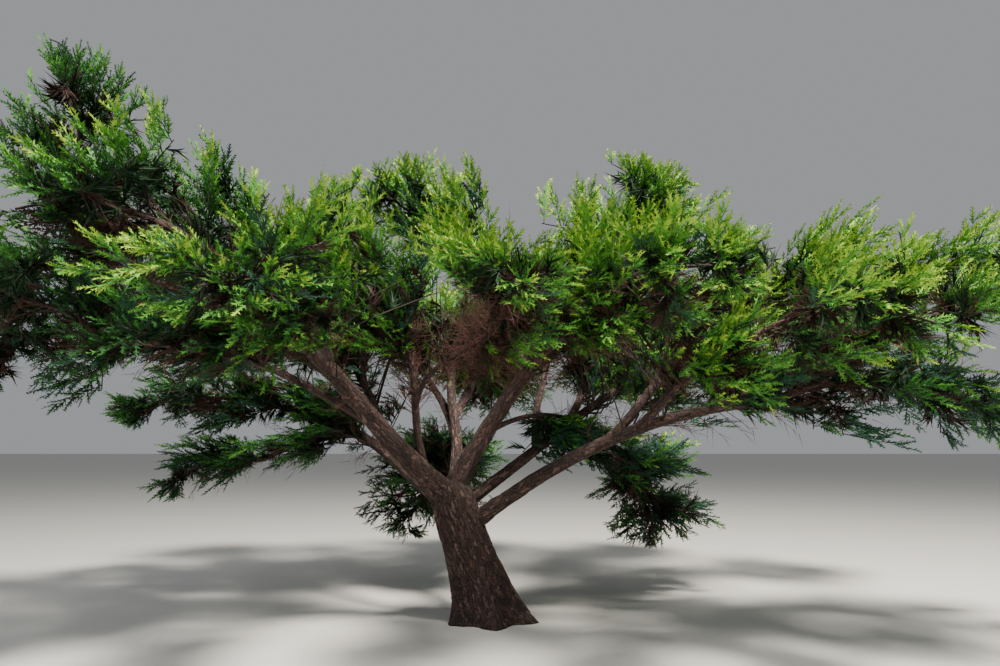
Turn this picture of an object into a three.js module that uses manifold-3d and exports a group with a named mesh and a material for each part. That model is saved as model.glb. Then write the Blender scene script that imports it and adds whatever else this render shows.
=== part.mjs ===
// A wide, low, spreading conifer with feathery foliage on bare boughs that fan out from a short trunk.
// Millimetres, +Z up. The origin is the centre of the flat cut under the trunk, at ground level.
// Bearings are degrees seen from above: 0 is +X, 90 is +Y. A reach is the distance from the upright
// line through the origin, and a height is measured from the ground.
import * as THREE from "three";
import { mergeVertices } from "three/addons/utils/BufferGeometryUtils.js";
import Module from "manifold-3d";

const wasm = await Module();
wasm.setup();

// The trunk, from its flat cut to the fork
const TRUNK = { bearing: 180, reach: 380, height: 1150, bow: 0, sway: 25, foot: 245, tip: 190 };
const FLARE_HEIGHT = 260;
const FLARE_SPREAD = 0.42;
const FLARE_LOBES = 5;
const FLARE_LOBE_DEPTH = 0.16;
const FLARE_LOBE_TURN = 1;
const TRUNK_SIDES = 16;
const TRUNK_STEPS = 7;
const TRUNK_STEP_POWER = 1.4;

// The low dome that closes the trunk: shares of its length, and of its radius there
const TRUNK_DOME = [
  [1, 1],
  [1.05, 0.86],
  [1.09, 0.5],
];

// Gaps between solids
const CLEARANCE = 0.3;
const CORE_TO_LIMB = 12;
const CORE_TO_CORE = 3;
const LEAST_GAP = 1;
const GAP_SEARCH = 5;

// Detail that is too small to keep where solids are cut
const SMALLEST_DETAIL = 0.1;
const MERGE_WITHIN = 0.001;
const CLEAN_PASSES = 3;

// Boughs, each one tapering limb: the parent that it leaves and where, as a share of the parent's length,
// then the place of its tip, how far it bows up and sways aside, and its radii at foot and tip.
const BOUGHS = [
  { name: "bough_left", parent: "trunk", share: 0.9, bearing: 216, reach: 2250, height: 2700, bow: 20,
    sway: 60, foot: 112, tip: 46 },
  { name: "bough_left_under", parent: "bough_left", share: 0.36, bearing: 200, reach: 2500,
    height: 2330, bow: 90, sway: 50, foot: 38, tip: 24 },
  { name: "bough_left_apex", parent: "bough_left", share: 0.74, bearing: 207, reach: 3230,
    height: 2950, bow: -40, sway: 40, foot: 46, tip: 30 },
  { name: "bough_left_front", parent: "bough_left", share: 0.66, bearing: 236, reach: 2300,
    height: 2380, bow: 60, sway: -40, foot: 42, tip: 28 },
  { name: "bough_left_fore", parent: "bough_left_under", share: 0.6, bearing: 213, reach: 3050,
    height: 2250, bow: 40, sway: 30, foot: 27, tip: 21 },
  { name: "bough_left_shoulder", parent: "bough_left", share: 0.6, bearing: 200, reach: 2000,
    height: 2980, bow: -40, sway: -40, foot: 44, tip: 30 },
  { name: "bough_left_far", parent: "bough_left", share: 0.54, bearing: 178, reach: 2450,
    height: 2520, bow: 120, sway: 40, foot: 42, tip: 28 },
  { name: "bough_stem", parent: "bough_left", share: 0.13, bearing: 208, reach: 850, height: 2480,
    bow: 0, sway: 30, foot: 38, tip: 28 },
  { name: "bough_stem_side", parent: "bough_stem", share: 0.52, bearing: 268, reach: 1180,
    height: 2330, bow: 110, sway: 50, foot: 24, tip: 20 },
  { name: "bough_centre", parent: "trunk", share: 0.97, bearing: 331, reach: 800, height: 2560,
    bow: 150, sway: -20, foot: 88, tip: 48 },
  { name: "bough_centre_plume", parent: "bough_centre", share: 0.62, bearing: 80, reach: 420,
    height: 2900, bow: 40, sway: 20, foot: 46, tip: 32 },
  { name: "bough_centre_front", parent: "bough_centre", share: 0.7, bearing: 307, reach: 1400,
    height: 2440, bow: 60, sway: 30, foot: 42, tip: 30 },
  { name: "bough_centre_arched", parent: "bough_centre", share: 0.28, bearing: 22, reach: 1500,
    height: 1300, bow: 330, sway: 30, foot: 24, tip: 16 },
  { name: "bough_right", parent: "trunk", share: 0.68, bearing: 338, reach: 2300, height: 1880,
    bow: 225, sway: -40, foot: 72, tip: 38 },
  { name: "bough_right_front", parent: "bough_right", share: 0.62, bearing: 319, reach: 2150,
    height: 2130, bow: 60, sway: -20, foot: 38, tip: 28 },
  { name: "bough_right_upper", parent: "bough_right", share: 0.52, bearing: 343, reach: 1850,
    height: 2640, bow: -60, sway: 30, foot: 42, tip: 32 },
  { name: "bough_right_outer", parent: "bough_right", share: 0.84, bearing: 334, reach: 2950,
    height: 2340, bow: -50, sway: 20, foot: 36, tip: 28 },
  { name: "bough_right_arch", parent: "bough_right", share: 0.88, bearing: 350, reach: 2950,
    height: 2060, bow: 90, sway: 20, foot: 33, tip: 26 },
  { name: "bough_right_back", parent: "trunk", share: 0.84, bearing: 33, reach: 2050, height: 2360,
    bow: 60, sway: 50, foot: 58, tip: 34 },
  { name: "bough_back_right", parent: "bough_right_back", share: 0.5, bearing: 57, reach: 2150,
    height: 2420, bow: 60, sway: 30, foot: 42, tip: 32 },
  { name: "bough_back_stem", parent: "trunk", share: 0.96, bearing: 112, reach: 1000, height: 2620,
    bow: -50, sway: 40, foot: 58, tip: 36 },
  { name: "bough_back", parent: "bough_back_stem", share: 0.5, bearing: 92, reach: 2100,
    height: 2420, bow: 110, sway: 30, foot: 42, tip: 32 },
  { name: "bough_back_low", parent: "trunk", share: 0.6, bearing: 108, reach: 1500, height: 1320,
    bow: 130, sway: 30, foot: 56, tip: 32 },
  { name: "bough_back_left", parent: "trunk", share: 0.78, bearing: 147, reach: 2200, height: 1830,
    bow: 130, sway: -50, foot: 62, tip: 38 },
  { name: "bough_back_left_up", parent: "bough_back_left", share: 0.45, bearing: 136, reach: 2250,
    height: 2680, bow: 60, sway: 30, foot: 46, tip: 34 },
  { name: "bough_back_left_under", parent: "bough_back_left", share: 0.7, bearing: 156, reach: 2550,
    height: 1420, bow: 60, sway: 20, foot: 34, tip: 26 },
  { name: "bough_back_rise", parent: "bough_back_stem", share: 0.35, bearing: 121, reach: 1800,
    height: 2620, bow: 60, sway: 30, foot: 40, tip: 30 },
  { name: "bough_back_crest", parent: "bough_right_back", share: 0.35, bearing: 71, reach: 1750,
    height: 2600, bow: 60, sway: -30, foot: 40, tip: 30 },
  { name: "bough_back_inner", parent: "bough_back_left_up", share: 0.45, bearing: 157, reach: 1450,
    height: 2620, bow: -40, sway: 20, foot: 34, tip: 28 },
];
const LIMB_STEP = 380;
const LEAST_LIMB_STEPS = 3;
const LIMB_SIDES_THICK = 10;
const LIMB_SIDES_THIN = 6;
const THICK_LIMB = 70;
const LIMB_TAPER = 0.8;
const COLLAR_SWELL = 0.28;
const COLLAR_LENGTH = 150;

// Masses of foliage: the bough whose tip each one grows from, the place of its furthest tip, how far its
// stem arches up between them, and the width and depth of the space that it fills.
const MASSES = [
  { name: "mass_left", bough: "bough_left", bearing: 219, reach: 3850, height: 2900, arch: 300,
    width: 1800, depth: 1400 },
  { name: "mass_left_under", bough: "bough_left_under", bearing: 194, reach: 4300, height: 2050,
    arch: 230, width: 2000, depth: 1150 },
  { name: "mass_left_apex", bough: "bough_left_apex", bearing: 210, reach: 3430, height: 4340,
    arch: 0, width: 1350, depth: 1350 },
  { name: "mass_left_front", bough: "bough_left_front", bearing: 246, reach: 3500, height: 2250,
    arch: 190, width: 2600, depth: 1200 },
  { name: "mass_left_fore", bough: "bough_left_fore", bearing: 213, reach: 4450, height: 2130,
    arch: 280, width: 1900, depth: 1200 },
  { name: "mass_left_shoulder", bough: "bough_left_shoulder", bearing: 196, reach: 3150,
    height: 3560, arch: 150, width: 2000, depth: 1400 },
  { name: "mass_left_far", bough: "bough_left_far", bearing: 180, reach: 4700, height: 3020,
    arch: 260, width: 2100, depth: 1500 },
  { name: "mass_stem_top", bough: "bough_stem", bearing: 205, reach: 1750, height: 3500, arch: 60,
    width: 2100, depth: 1900 },
  { name: "mass_stem_front", bough: "bough_stem_side", bearing: 274, reach: 2650, height: 2480,
    arch: 150, width: 2600, depth: 1050 },
  { name: "mass_right_apex", bough: "bough_centre", bearing: 339, reach: 1600, height: 3780,
    arch: 20, width: 2200, depth: 1800 },
  { name: "mass_centre_plume", bough: "bough_centre_plume", bearing: 168, reach: 1150, height: 4000,
    arch: 90, width: 2200, depth: 1500 },
  { name: "mass_centre_front", bough: "bough_centre_front", bearing: 303, reach: 2950, height: 2500,
    arch: 240, width: 2500, depth: 1300 },
  { name: "mass_right_skirt", bough: "bough_centre_arched", bearing: 46, reach: 2600, height: 520,
    arch: 160, width: 1700, depth: 1000 },
  { name: "mass_right_low", bough: "bough_right", bearing: 338, reach: 3950, height: 1720, arch: 200,
    width: 2000, depth: 1150 },
  { name: "mass_right_front", bough: "bough_right_front", bearing: 321, reach: 3700, height: 2200,
    arch: 260, width: 2000, depth: 1300 },
  { name: "mass_right_upper", bough: "bough_right_upper", bearing: 349, reach: 4400, height: 3100,
    arch: -60, width: 2100, depth: 1300 },
  { name: "mass_right_outer", bough: "bough_right_outer", bearing: 334, reach: 4500, height: 2800,
    arch: -60, width: 1700, depth: 1150 },
  { name: "mass_right_arch", bough: "bough_right_arch", bearing: 351, reach: 4750, height: 1120,
    arch: 380, width: 1300, depth: 900 },
  { name: "mass_right_back", bough: "bough_right_back", bearing: 16, reach: 4350, height: 2800,
    arch: 200, width: 2600, depth: 1700 },
  { name: "mass_back_right", bough: "bough_back_right", bearing: 51, reach: 4100, height: 2600,
    arch: 200, width: 2800, depth: 1900 },
  { name: "mass_back_top", bough: "bough_back_stem", bearing: 70, reach: 1900, height: 3450,
    arch: 60, width: 2300, depth: 1900 },
  { name: "mass_back", bough: "bough_back", bearing: 92, reach: 4000, height: 2450, arch: 160,
    width: 2800, depth: 1900 },
  { name: "mass_back_low", bough: "bough_back_low", bearing: 112, reach: 2850, height: 520,
    arch: 200, width: 2100, depth: 1000 },
  { name: "mass_back_left", bough: "bough_back_left", bearing: 158, reach: 4450, height: 1920,
    arch: 190, width: 1900, depth: 1000 },
  { name: "mass_back_left_up", bough: "bough_back_left_up", bearing: 138, reach: 4150,
    height: 2750, arch: 220, width: 2800, depth: 1900 },
  { name: "mass_back_left_under", bough: "bough_back_left_under", bearing: 157, reach: 4000,
    height: 1050, arch: 130, width: 1400, depth: 760 },
  { name: "mass_back_rise", bough: "bough_back_rise", bearing: 114, reach: 3300, height: 3150,
    arch: 260, width: 2400, depth: 1600 },
  { name: "mass_back_crest", bough: "bough_back_crest", bearing: 73, reach: 3250, height: 3100,
    arch: 280, width: 2300, depth: 1600 },
  { name: "mass_back_inner", bough: "bough_back_inner", bearing: 166, reach: 2300, height: 3450,
    arch: 120, width: 2100, depth: 1500 },
];
const SPINE_SAMPLES = 14;
const WIDEST_AT = 0.42;
const FOOT_SHARE = 0.55;
const TIP_SHARE = 0.2;
const TIP_TAPER = 1.9;
const SAMPLE_OVERLAP = 1.6;
const SPACE_MARGIN = 0.03;
const SPACE_EDGE = 1.4;

// A mass also runs back over its bough towards the fork, as a shelf. Places on the stem are shares of its
// length from the bough's tip, and from 0 down to -1 they are shares of the shelf.
const SHELF_SAMPLES = 5;
const SHELF_REACH = 0.7;
const LONGEST_SHELF = 1500;
const SHELF_LIFT = 0.34;
const SHELF_END_SHARE = 0.5;

// The core of a mass, its twigs and its sprays. Lengths are shares of the space's half size beside them.
const CORE_SHARE = 0.42;
const CORE_SIDES = 6;
const CORE_RINGS = 6;
const CORE_START = 0.03;
const CORE_END = 0.97;
const CORE_ROOT_SHARE = 0.7;
const CORE_POINT_SHARE = 0.2;
const CORE_LUMPS = 0.16;
const CORE_LEAST_SHARE = 0.05;
const CORE_DRAW_IN = 0.85;
const TUFT_SHARE = 0.78;
const TUFT_LEAN = 0.45;

// The rings of the shelf's core: place on the shelf, share of the core's size, and the way the end grows
const SHELF_CORE_RINGS = [
  [-0.85, 0.3, -1],
  [-0.4, 0.9, 0],
  [0.15, 0.4, 1],
];
const TWIG_RADIUS = 15;
const TWIG_TIP_SHARE = 0.55;
const TWIG_REACH = 0.5;
const TWIG_REACH_RANGE = [0.85, 1.1];
const TWIG_LEAN_RANGE = [0.1, 0.3];
const TWIGS_PER_METRE = 1;
const MOST_TRIES = 12;
const TURN_PER_TWIG = 137.5;
const TURN_JITTER = 30;
const STEP_PER_TWIG = 0.414;
const STEP_JITTER = 0.1;
const TWIG_START = -0.8;
const TWIG_END = 0.88;
const SPRAY_REACH = 1.05;
const SHORTEST_SPRAY = 300;
const LONGEST_SPRAY = 640;
const SPRAY_LENGTH_RANGE = [0.85, 1.15];
const SPRAY_WIDTH = 0.5;
const SPRAY_THICKNESS = 0.06;
const SPRAY_RIDGE_AT = 0.42;
const SPRAY_SINK = 0.22;
const SPRAY_SPREAD = 0.5;
const SPRAY_SPREAD_RANGE = [0.6, 1];
const SPRAY_FORWARD = 0.5;
const SPRAY_TILT = 0.7;
const STEM_SHARE = 0.3;
const STEM_TAPER = 0.6;
const STEM_SIDES = 6;
const TWIG_SIDES = 3;

// The two sprays that carry the stem's own tip
const END_SPRAY_ROOT = 0.84;
const END_SPRAY_WAY = 0.95;
const END_SPRAY_ASIDE = [-0.5, 0.5];
const END_SPRAY_LENGTH = 0.8;
const SEED = 20;

// A spray seen flat, as shares of its length and of half its width: two teeth a side that point forward
const TEETH = [
  [0.38, 1.0],
  [0.48, 0.42],
  [0.72, 0.68],
];

const COLOURS = {
  bark: { color: 0x6b4a3e, roughness: 0.92, metalness: 0 },
  foliage: { color: 0x4c7a1f, roughness: 0.75, metalness: 0 },
};

const UP = new THREE.Vector3(0, 0, 1);

// Half the share of a line over which its direction is measured
const FRAME_STEP = 0.01;

// Small helpers

function radians(degrees) {
  return (degrees * Math.PI) / 180;
}

function mix(a, b, t) {
  return a + (b - a) * t;
}

function pick([low, high], random) {
  return mix(low, high, random());
}

function place(bearing, reach, height) {
  const angle = radians(bearing);
  return new THREE.Vector3(reach * Math.cos(angle), reach * Math.sin(angle), height);
}

function seededRandom(seed) {
  let state = seed >>> 0;
  return () => {
    state = (state + 0x6d2b79f5) >>> 0;
    let mixed = Math.imul(state ^ (state >>> 15), 1 | state);
    mixed = (mixed + Math.imul(mixed ^ (mixed >>> 7), 61 | mixed)) ^ mixed;
    return ((mixed ^ (mixed >>> 14)) >>> 0) / 4294967296;
  };
}

// Geometry and solids

// A closed skin over rings of points, with a flat fan from the middle of each end ring.
function skin(rings) {
  const sides = rings[0].length;
  const points = rings.flat();
  const faces = [];
  for (let r = 0; r < rings.length - 1; r++) {
    for (let s = 0; s < sides; s++) {
      const a = r * sides + s;
      const b = r * sides + ((s + 1) % sides);
      faces.push(a, b, a + sides, b, b + sides, a + sides);
    }
  }
  const last = (rings.length - 1) * sides;
  for (const [offset, ring, turned] of [[0, rings[0], true], [last, rings[rings.length - 1], false]]) {
    const middle = points.length;
    const sum = ring.reduce((total, point) => total.add(point), new THREE.Vector3());
    points.push(sum.divideScalar(sides));
    for (let s = 0; s < sides; s++) {
      const a = offset + s;
      const b = offset + ((s + 1) % sides);
      faces.push(...(turned ? [b, a, middle] : [a, b, middle]));
    }
  }
  return new THREE.BufferGeometry().setFromPoints(points).setIndex(faces);
}

function solidFrom(geometry) {
  const bare = geometry.clone();
  bare.deleteAttribute("normal");
  bare.deleteAttribute("uv");
  const merged = mergeVertices(bare, MERGE_WITHIN);
  return new wasm.Manifold(
    new wasm.Mesh({
      numProp: 3,
      vertProperties: merged.attributes.position.array,
      triVerts: new Uint32Array(merged.index.array),
    }),
  );
}

function geometryFrom(solid) {
  const mesh = solid.getMesh();
  const geometry = new THREE.BufferGeometry();
  geometry.setAttribute("position", new THREE.Float32BufferAttribute(mesh.vertProperties, 3));
  geometry.setIndex(new THREE.Uint32BufferAttribute(mesh.triVerts, 1));
  return geometry;
}

function largestPiece(solid) {
  const pieces = solid.decompose();
  return pieces.reduce((best, piece) => (piece.volume() > best.volume() ? piece : best));
}

// The largest piece as it is read back from its mesh, without the specks that rounding cuts off.
function cleanPiece(solid) {
  let piece = largestPiece(solid.simplify(SMALLEST_DETAIL));
  for (let pass = 0; pass < CLEAN_PASSES; pass++) {
    piece = largestPiece(solidFrom(geometryFrom(piece)));
  }
  return piece;
}

function boxesMeet(a, b) {
  const first = a.boundingBox();
  const second = b.boundingBox();
  return [0, 1, 2].every((i) => first.min[i] <= second.max[i] && second.min[i] <= first.max[i]);
}

// Limbs: the trunk and the boughs

// The way along, aside and over of a line that stays near one upright plane.
function framesAt(from, to, along) {
  const flat = new THREE.Vector3(to.x - from.x, to.y - from.y, 0);
  const aside = flat.lengthSq() > 1 ? flat.normalize().cross(UP).negate() : new THREE.Vector3(1, 0, 0);
  const over = new THREE.Vector3().crossVectors(along, aside).normalize();
  return { side: new THREE.Vector3().crossVectors(over, along).normalize(), over };
}

function limbPoint(limb, t) {
  const point = new THREE.Vector3().lerpVectors(limb.from, limb.to, t);
  const flat = new THREE.Vector3(limb.to.x - limb.from.x, limb.to.y - limb.from.y, 0).normalize();
  point.addScaledVector(UP, limb.bow * 4 * t * (1 - t));
  point.addScaledVector(flat.cross(UP), limb.sway * Math.sin(2 * Math.PI * t));
  return point;
}

function limbDirection(limb, t) {
  const back = limbPoint(limb, t - FRAME_STEP);
  return limbPoint(limb, t + FRAME_STEP).sub(back).normalize();
}

function limbRadius(limb, t) {
  const collar = 1 + COLLAR_SWELL * Math.exp(-(t * limb.length) / COLLAR_LENGTH);
  return mix(limb.foot, limb.tip, t ** LIMB_TAPER) * (limb.name === "trunk" ? 1 : collar);
}

function limbRings(limb, steps, sides, extra) {
  const rings = [];
  for (let step = 0; step <= steps; step++) {
    const t = step / steps;
    const along = limbDirection(limb, t);
    const past = (step === steps ? extra : 0) - (step === 0 ? extra : 0);
    const centre = limbPoint(limb, t).addScaledVector(along, past);
    const { side, over } = framesAt(limb.from, limb.to, along);
    const radius = limbRadius(limb, t) + extra;
    rings.push(
      Array.from({ length: sides }, (unused, s) => {
        const angle = (2 * Math.PI * s) / sides;
        return centre
          .clone()
          .addScaledVector(side, radius * Math.cos(angle))
          .addScaledVector(over, radius * Math.sin(angle));
      }),
    );
  }
  return rings;
}

function boughSolid(limb, extra = 0) {
  const sides = limb.foot > THICK_LIMB ? LIMB_SIDES_THICK : LIMB_SIDES_THIN;
  const steps = Math.max(LEAST_LIMB_STEPS, Math.round(limb.length / LIMB_STEP));
  return solidFrom(skin(limbRings(limb, steps, sides, extra)));
}

// The trunk stands on a level ring with root lobes, and closes in a low dome at the fork.
function trunkSolid(trunk, extra = 0) {
  const rings = [];
  const shares = Array.from({ length: TRUNK_STEPS }, (unused, i) => (i / TRUNK_STEPS) ** TRUNK_STEP_POWER);
  for (const [t, share] of [...shares.map((t) => [t, 1]), ...TRUNK_DOME]) {
    const centre = limbPoint(trunk, t);
    const flare = Math.exp(-centre.z / FLARE_HEIGHT);
    const radius = limbRadius(trunk, Math.min(t, 1)) * share * (1 + FLARE_SPREAD * flare) + extra;
    rings.push(
      Array.from({ length: TRUNK_SIDES }, (unused, s) => {
        const angle = (2 * Math.PI * s) / TRUNK_SIDES;
        const lobe = 1 + FLARE_LOBE_DEPTH * flare * Math.cos(FLARE_LOBES * angle + FLARE_LOBE_TURN);
        return new THREE.Vector3(
          centre.x + radius * lobe * Math.cos(angle),
          centre.y + radius * lobe * Math.sin(angle),
          centre.z,
        );
      }),
    );
  }
  return solidFrom(skin(rings));
}

function settle(limb, parent) {
  const made = { ...limb, to: place(limb.bearing, limb.reach, limb.height) };
  made.from = parent ? limbPoint(parent, limb.share) : new THREE.Vector3();
  made.length = made.from.distanceTo(made.to);
  return made;
}

function growLimbs() {
  const limbs = new Map();
  const trunk = settle({ name: "trunk", ...TRUNK }, null);
  trunk.solid = trunkSolid(trunk);
  trunk.grown = trunkSolid(trunk, CLEARANCE);
  trunk.wide = trunkSolid(trunk, CORE_TO_LIMB);
  limbs.set("trunk", trunk);
  for (const row of BOUGHS) {
    const limb = settle(row, limbs.get(row.parent));
    const others = [...limbs.values()];
    let solid = boughSolid(limb);
    for (const other of others) {
      if (boxesMeet(solid, other.grown)) solid = solid.subtract(other.grown);
    }
    limb.solid = largestPiece(solid);
    limb.grown = boughSolid(limb, CLEARANCE);
    limb.wide = boughSolid(limb, CORE_TO_LIMB);
    limbs.set(limb.name, limb);
  }
  return limbs;
}

// Masses of foliage

// How wide the space is along its stem, as a share of its full width.
function fullness(t) {
  if (t < 0) return mix(FOOT_SHARE, SHELF_END_SHARE, -t);
  if (t < WIDEST_AT) return mix(FOOT_SHARE, 1, Math.sin((Math.PI / 2) * (t / WIDEST_AT)));
  return mix(1, TIP_SHARE, ((t - WIDEST_AT) / (1 - WIDEST_AT)) ** TIP_TAPER);
}

// The shelf runs straight towards the trunk and lifts off its bough on the way.
function shelfPoint(mass, t) {
  const lift = SHELF_LIFT * mass.depth * Math.sin((Math.PI / 2) * Math.max(0, -t));
  return mass.from.clone().addScaledVector(mass.inward, -t * mass.shelf).addScaledVector(UP, lift);
}

function stemPoint(mass, t) {
  const point = new THREE.Vector3().lerpVectors(mass.from, mass.to, t);
  return point.addScaledVector(UP, mass.arch * 4 * t * (1 - t));
}

function stationOf(mass, t, isShelf = t < 0) {
  const share = fullness(t);
  const size = { wide: (mass.width / 2) * share, deep: (mass.depth / 2) * share };
  if (isShelf) {
    const outward = mass.inward.clone().negate();
    const side = new THREE.Vector3().crossVectors(UP, outward);
    return { centre: shelfPoint(mass, t), along: outward, side, over: UP, ...size };
  }
  const along = stemPoint(mass, t + FRAME_STEP).sub(stemPoint(mass, t - FRAME_STEP)).normalize();
  const { side, over } = framesAt(mass.from, mass.to, along);
  return { centre: stemPoint(mass, t), along, side, over, ...size };
}

function planMass(row, limbs, fork) {
  const bough = limbs.get(row.bough);
  const mass = { ...row, bough, to: place(row.bearing, row.reach, row.height) };
  mass.from = bough.to.clone().addScaledVector(limbDirection(bough, 1), CLEARANCE);
  mass.length = mass.from.distanceTo(mass.to);
  const inward = new THREE.Vector3(fork.x - mass.from.x, fork.y - mass.from.y, 0);
  mass.shelf = Math.min(LONGEST_SHELF, SHELF_REACH * inward.length());
  mass.inward = inward.normalize();
  const shares = Array.from({ length: SPINE_SAMPLES + 1 }, (unused, i) => i / SPINE_SAMPLES);
  const shelfShares = Array.from({ length: SHELF_SAMPLES }, (unused, i) => (i + 1) / -SHELF_SAMPLES);
  mass.samples = [...shelfShares, ...shares].map((t) => stationOf(mass, t));
  mass.reachAlong = (SAMPLE_OVERLAP * mass.length) / SPINE_SAMPLES;
  return mass;
}

// How deep in a mass's space a point lies: 0 on the stem, 1 on the outside.
function depthIn(mass, point) {
  let least = Infinity;
  const offset = new THREE.Vector3();
  for (const { centre, along, side, over, wide, deep } of mass.samples) {
    offset.subVectors(point, centre);
    const a = offset.dot(side) / wide;
    const b = offset.dot(over) / deep;
    const c = offset.dot(along) / mass.reachAlong;
    least = Math.min(least, a * a + b * b + c * c);
  }
  return Math.sqrt(least);
}

// True where a point is inside the mass's own space and nearer its stem than any neighbour's.
function isOwn(mass, masses, point) {
  const own = depthIn(mass, point);
  if (own > SPACE_EDGE) return false;
  return masses.every((other) => other === mass || depthIn(other, point) > own + SPACE_MARGIN);
}

function pointsOf(solid) {
  const { vertProperties, numVert } = solid.getMesh();
  return Array.from({ length: numVert }, (unused, i) =>
    new THREE.Vector3().fromArray(vertProperties, i * 3),
  );
}

// The points of one ring of a core, and of the grown core, which stands out further. Every second point
// of a tufted ring leans forward, and each point is drawn in where it would leave the mass's own space.
function coreRing(mass, masses, ringPlace, random) {
  const { row, lean, isTufted, isShelf, closing, past } = ringPlace;
  const ring = [];
  const grownRing = [];
  for (let s = 0; s < CORE_SIDES; s++) {
    const isTuft = isTufted && (row + s) % 2 === 1;
    const t = ringPlace.t + (isTuft ? lean : 0);
    const { centre, along, side, over, wide, deep } = stationOf(mass, t, isShelf);
    const angle = (2 * Math.PI * s) / CORE_SIDES;
    const out = side.clone().multiplyScalar(wide * Math.cos(angle));
    out.addScaledVector(over, deep * Math.sin(angle));
    const lump = 1 + CORE_LUMPS * (2 * random() - 1);
    let share = (isTuft ? TUFT_SHARE : CORE_SHARE) * closing * lump;
    const pointAt = () => centre.clone().addScaledVector(out, share);
    while (share > CORE_LEAST_SHARE && !isOwn(mass, masses, pointAt())) share *= CORE_DRAW_IN;
    ring.push(pointAt());
    const grown = pointAt().addScaledVector(along, past * CORE_TO_CORE);
    grownRing.push(grown.addScaledVector(out.normalize(), CORE_TO_CORE));
  }
  return { ring, grownRing };
}

// The core tapers along the stem, and every second of its points is the tip of a tuft.
function stemCore(mass, masses, random) {
  const spacing = (CORE_END - CORE_START) / (CORE_RINGS - 1);
  const made = Array.from({ length: CORE_RINGS }, (unused, row) => {
    const isRoot = row === 0;
    const isPoint = row === CORE_RINGS - 1;
    return coreRing(
      mass,
      masses,
      {
        row,
        t: CORE_START + spacing * row,
        lean: TUFT_LEAN * spacing,
        isTufted: !isRoot && !isPoint,
        isShelf: false,
        closing: isRoot ? CORE_ROOT_SHARE : isPoint ? CORE_POINT_SHARE : 1,
        past: isRoot ? -1 : isPoint ? 1 : 0,
      },
      random,
    );
  });
  return [made.map(({ ring }) => ring), made.map(({ grownRing }) => grownRing)].map((rings) =>
    solidFrom(skin(rings)),
  );
}

// The core of the shelf is a plain hull, thickest in the middle.
function shelfCore(mass, masses, random) {
  const made = SHELF_CORE_RINGS.map(([t, closing, past], row) =>
    coreRing(mass, masses, { row, t, lean: 0, isTufted: false, isShelf: true, closing, past }, random),
  );
  return [made.map(({ ring }) => ring), made.map(({ grownRing }) => grownRing)].map((rings) =>
    wasm.Manifold.hull(rings.flat().map((point) => point.toArray())),
  );
}

// The core along the stem and the core along the shelf, fused, and the same grown.
function coreSolids(mass, masses, random) {
  const [core, grownCore] = stemCore(mass, masses, random);
  const [shelf, grownShelf] = shelfCore(mass, masses, random);
  return { core: core.add(shelf), grownCore: grownCore.add(grownShelf) };
}

function rodSolid(from, to, rootRadius, tipRadius, sides) {
  const along = new THREE.Vector3().subVectors(to, from).normalize();
  const { side, over } = framesAt(from, to, along);
  const ringAt = (centre, radius) =>
    Array.from({ length: sides }, (unused, s) => {
      const angle = (2 * Math.PI * s) / sides;
      return centre
        .clone()
        .addScaledVector(side, radius * Math.cos(angle))
        .addScaledVector(over, radius * Math.sin(angle));
    });
  return solidFrom(skin([ringAt(from, rootRadius), ringAt(to, tipRadius)]));
}

// A spray is a toothed blade: its outline lies flat, and a ridge above and below makes it thick.
function spraySolid(root, way, flat, length) {
  const along = way.clone().normalize();
  const side = new THREE.Vector3().crossVectors(flat, along).normalize();
  const over = new THREE.Vector3().crossVectors(along, side).normalize();
  const half = (length * SPRAY_WIDTH) / 2;
  const at = (x, y, z) =>
    root.clone().addScaledVector(along, x).addScaledVector(side, y).addScaledVector(over, z);
  const left = TEETH.map(([x, y]) => at(x * length, y * half, 0)).reverse();
  const right = TEETH.map(([x, y]) => at(x * length, -y * half, 0));
  const outline = [at(0, 0, 0), ...right, at(length, 0, 0), ...left];
  const count = outline.length;
  const ridge = length * SPRAY_THICKNESS;
  const top = at(SPRAY_RIDGE_AT * length, 0, ridge);
  const bottom = at(SPRAY_RIDGE_AT * length, 0, -ridge);
  const points = [...outline, top, bottom];
  const faces = outline.flatMap((unused, i) => {
    const next = (i + 1) % count;
    return [i, next, count, next, i, count + 1];
  });
  return solidFrom(new THREE.BufferGeometry().setFromPoints(points).setIndex(faces));
}

// One twig and the two sprays at its end, whose roots are sunk in it.
function twigSolids(mass, t, turn, random) {
  const { centre, along, side, over, wide, deep } = stationOf(mass, t);
  const out = side.clone().multiplyScalar(wide * Math.cos(turn));
  out.addScaledVector(over, deep * Math.sin(turn));
  const size = out.length();
  out.normalize();
  const end = centre
    .clone()
    .addScaledVector(out, size * TWIG_REACH * pick(TWIG_REACH_RANGE, random))
    .addScaledVector(along, size * pick(TWIG_LEAN_RANGE, random));
  const way = out.clone().addScaledVector(along, 1 + SPRAY_FORWARD * t).normalize();
  const flat = over.clone().addScaledVector(side, SPRAY_TILT * (random() - 0.5));
  const aside = new THREE.Vector3().crossVectors(way, flat).normalize();
  const sprays = [-1, 1].map((hand) => {
    const length = Math.min(LONGEST_SPRAY, Math.max(SHORTEST_SPRAY, size * SPRAY_REACH));
    const own = length * pick(SPRAY_LENGTH_RANGE, random);
    const spread = hand * SPRAY_SPREAD * pick(SPRAY_SPREAD_RANGE, random);
    const ownWay = way.clone().addScaledVector(aside, spread);
    ownWay.normalize();
    const root = end.clone().addScaledVector(ownWay, -SPRAY_SINK * own);
    return spraySolid(root, ownWay, flat, own);
  });
  return [rodSolid(centre, end, TWIG_RADIUS, TWIG_RADIUS * TWIG_TIP_SHARE, TWIG_SIDES), ...sprays];
}

function isApart(solid, other) {
  return !boxesMeet(other.solid, solid) || solid.minGap(other.solid, GAP_SEARCH) > LEAST_GAP;
}

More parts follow.
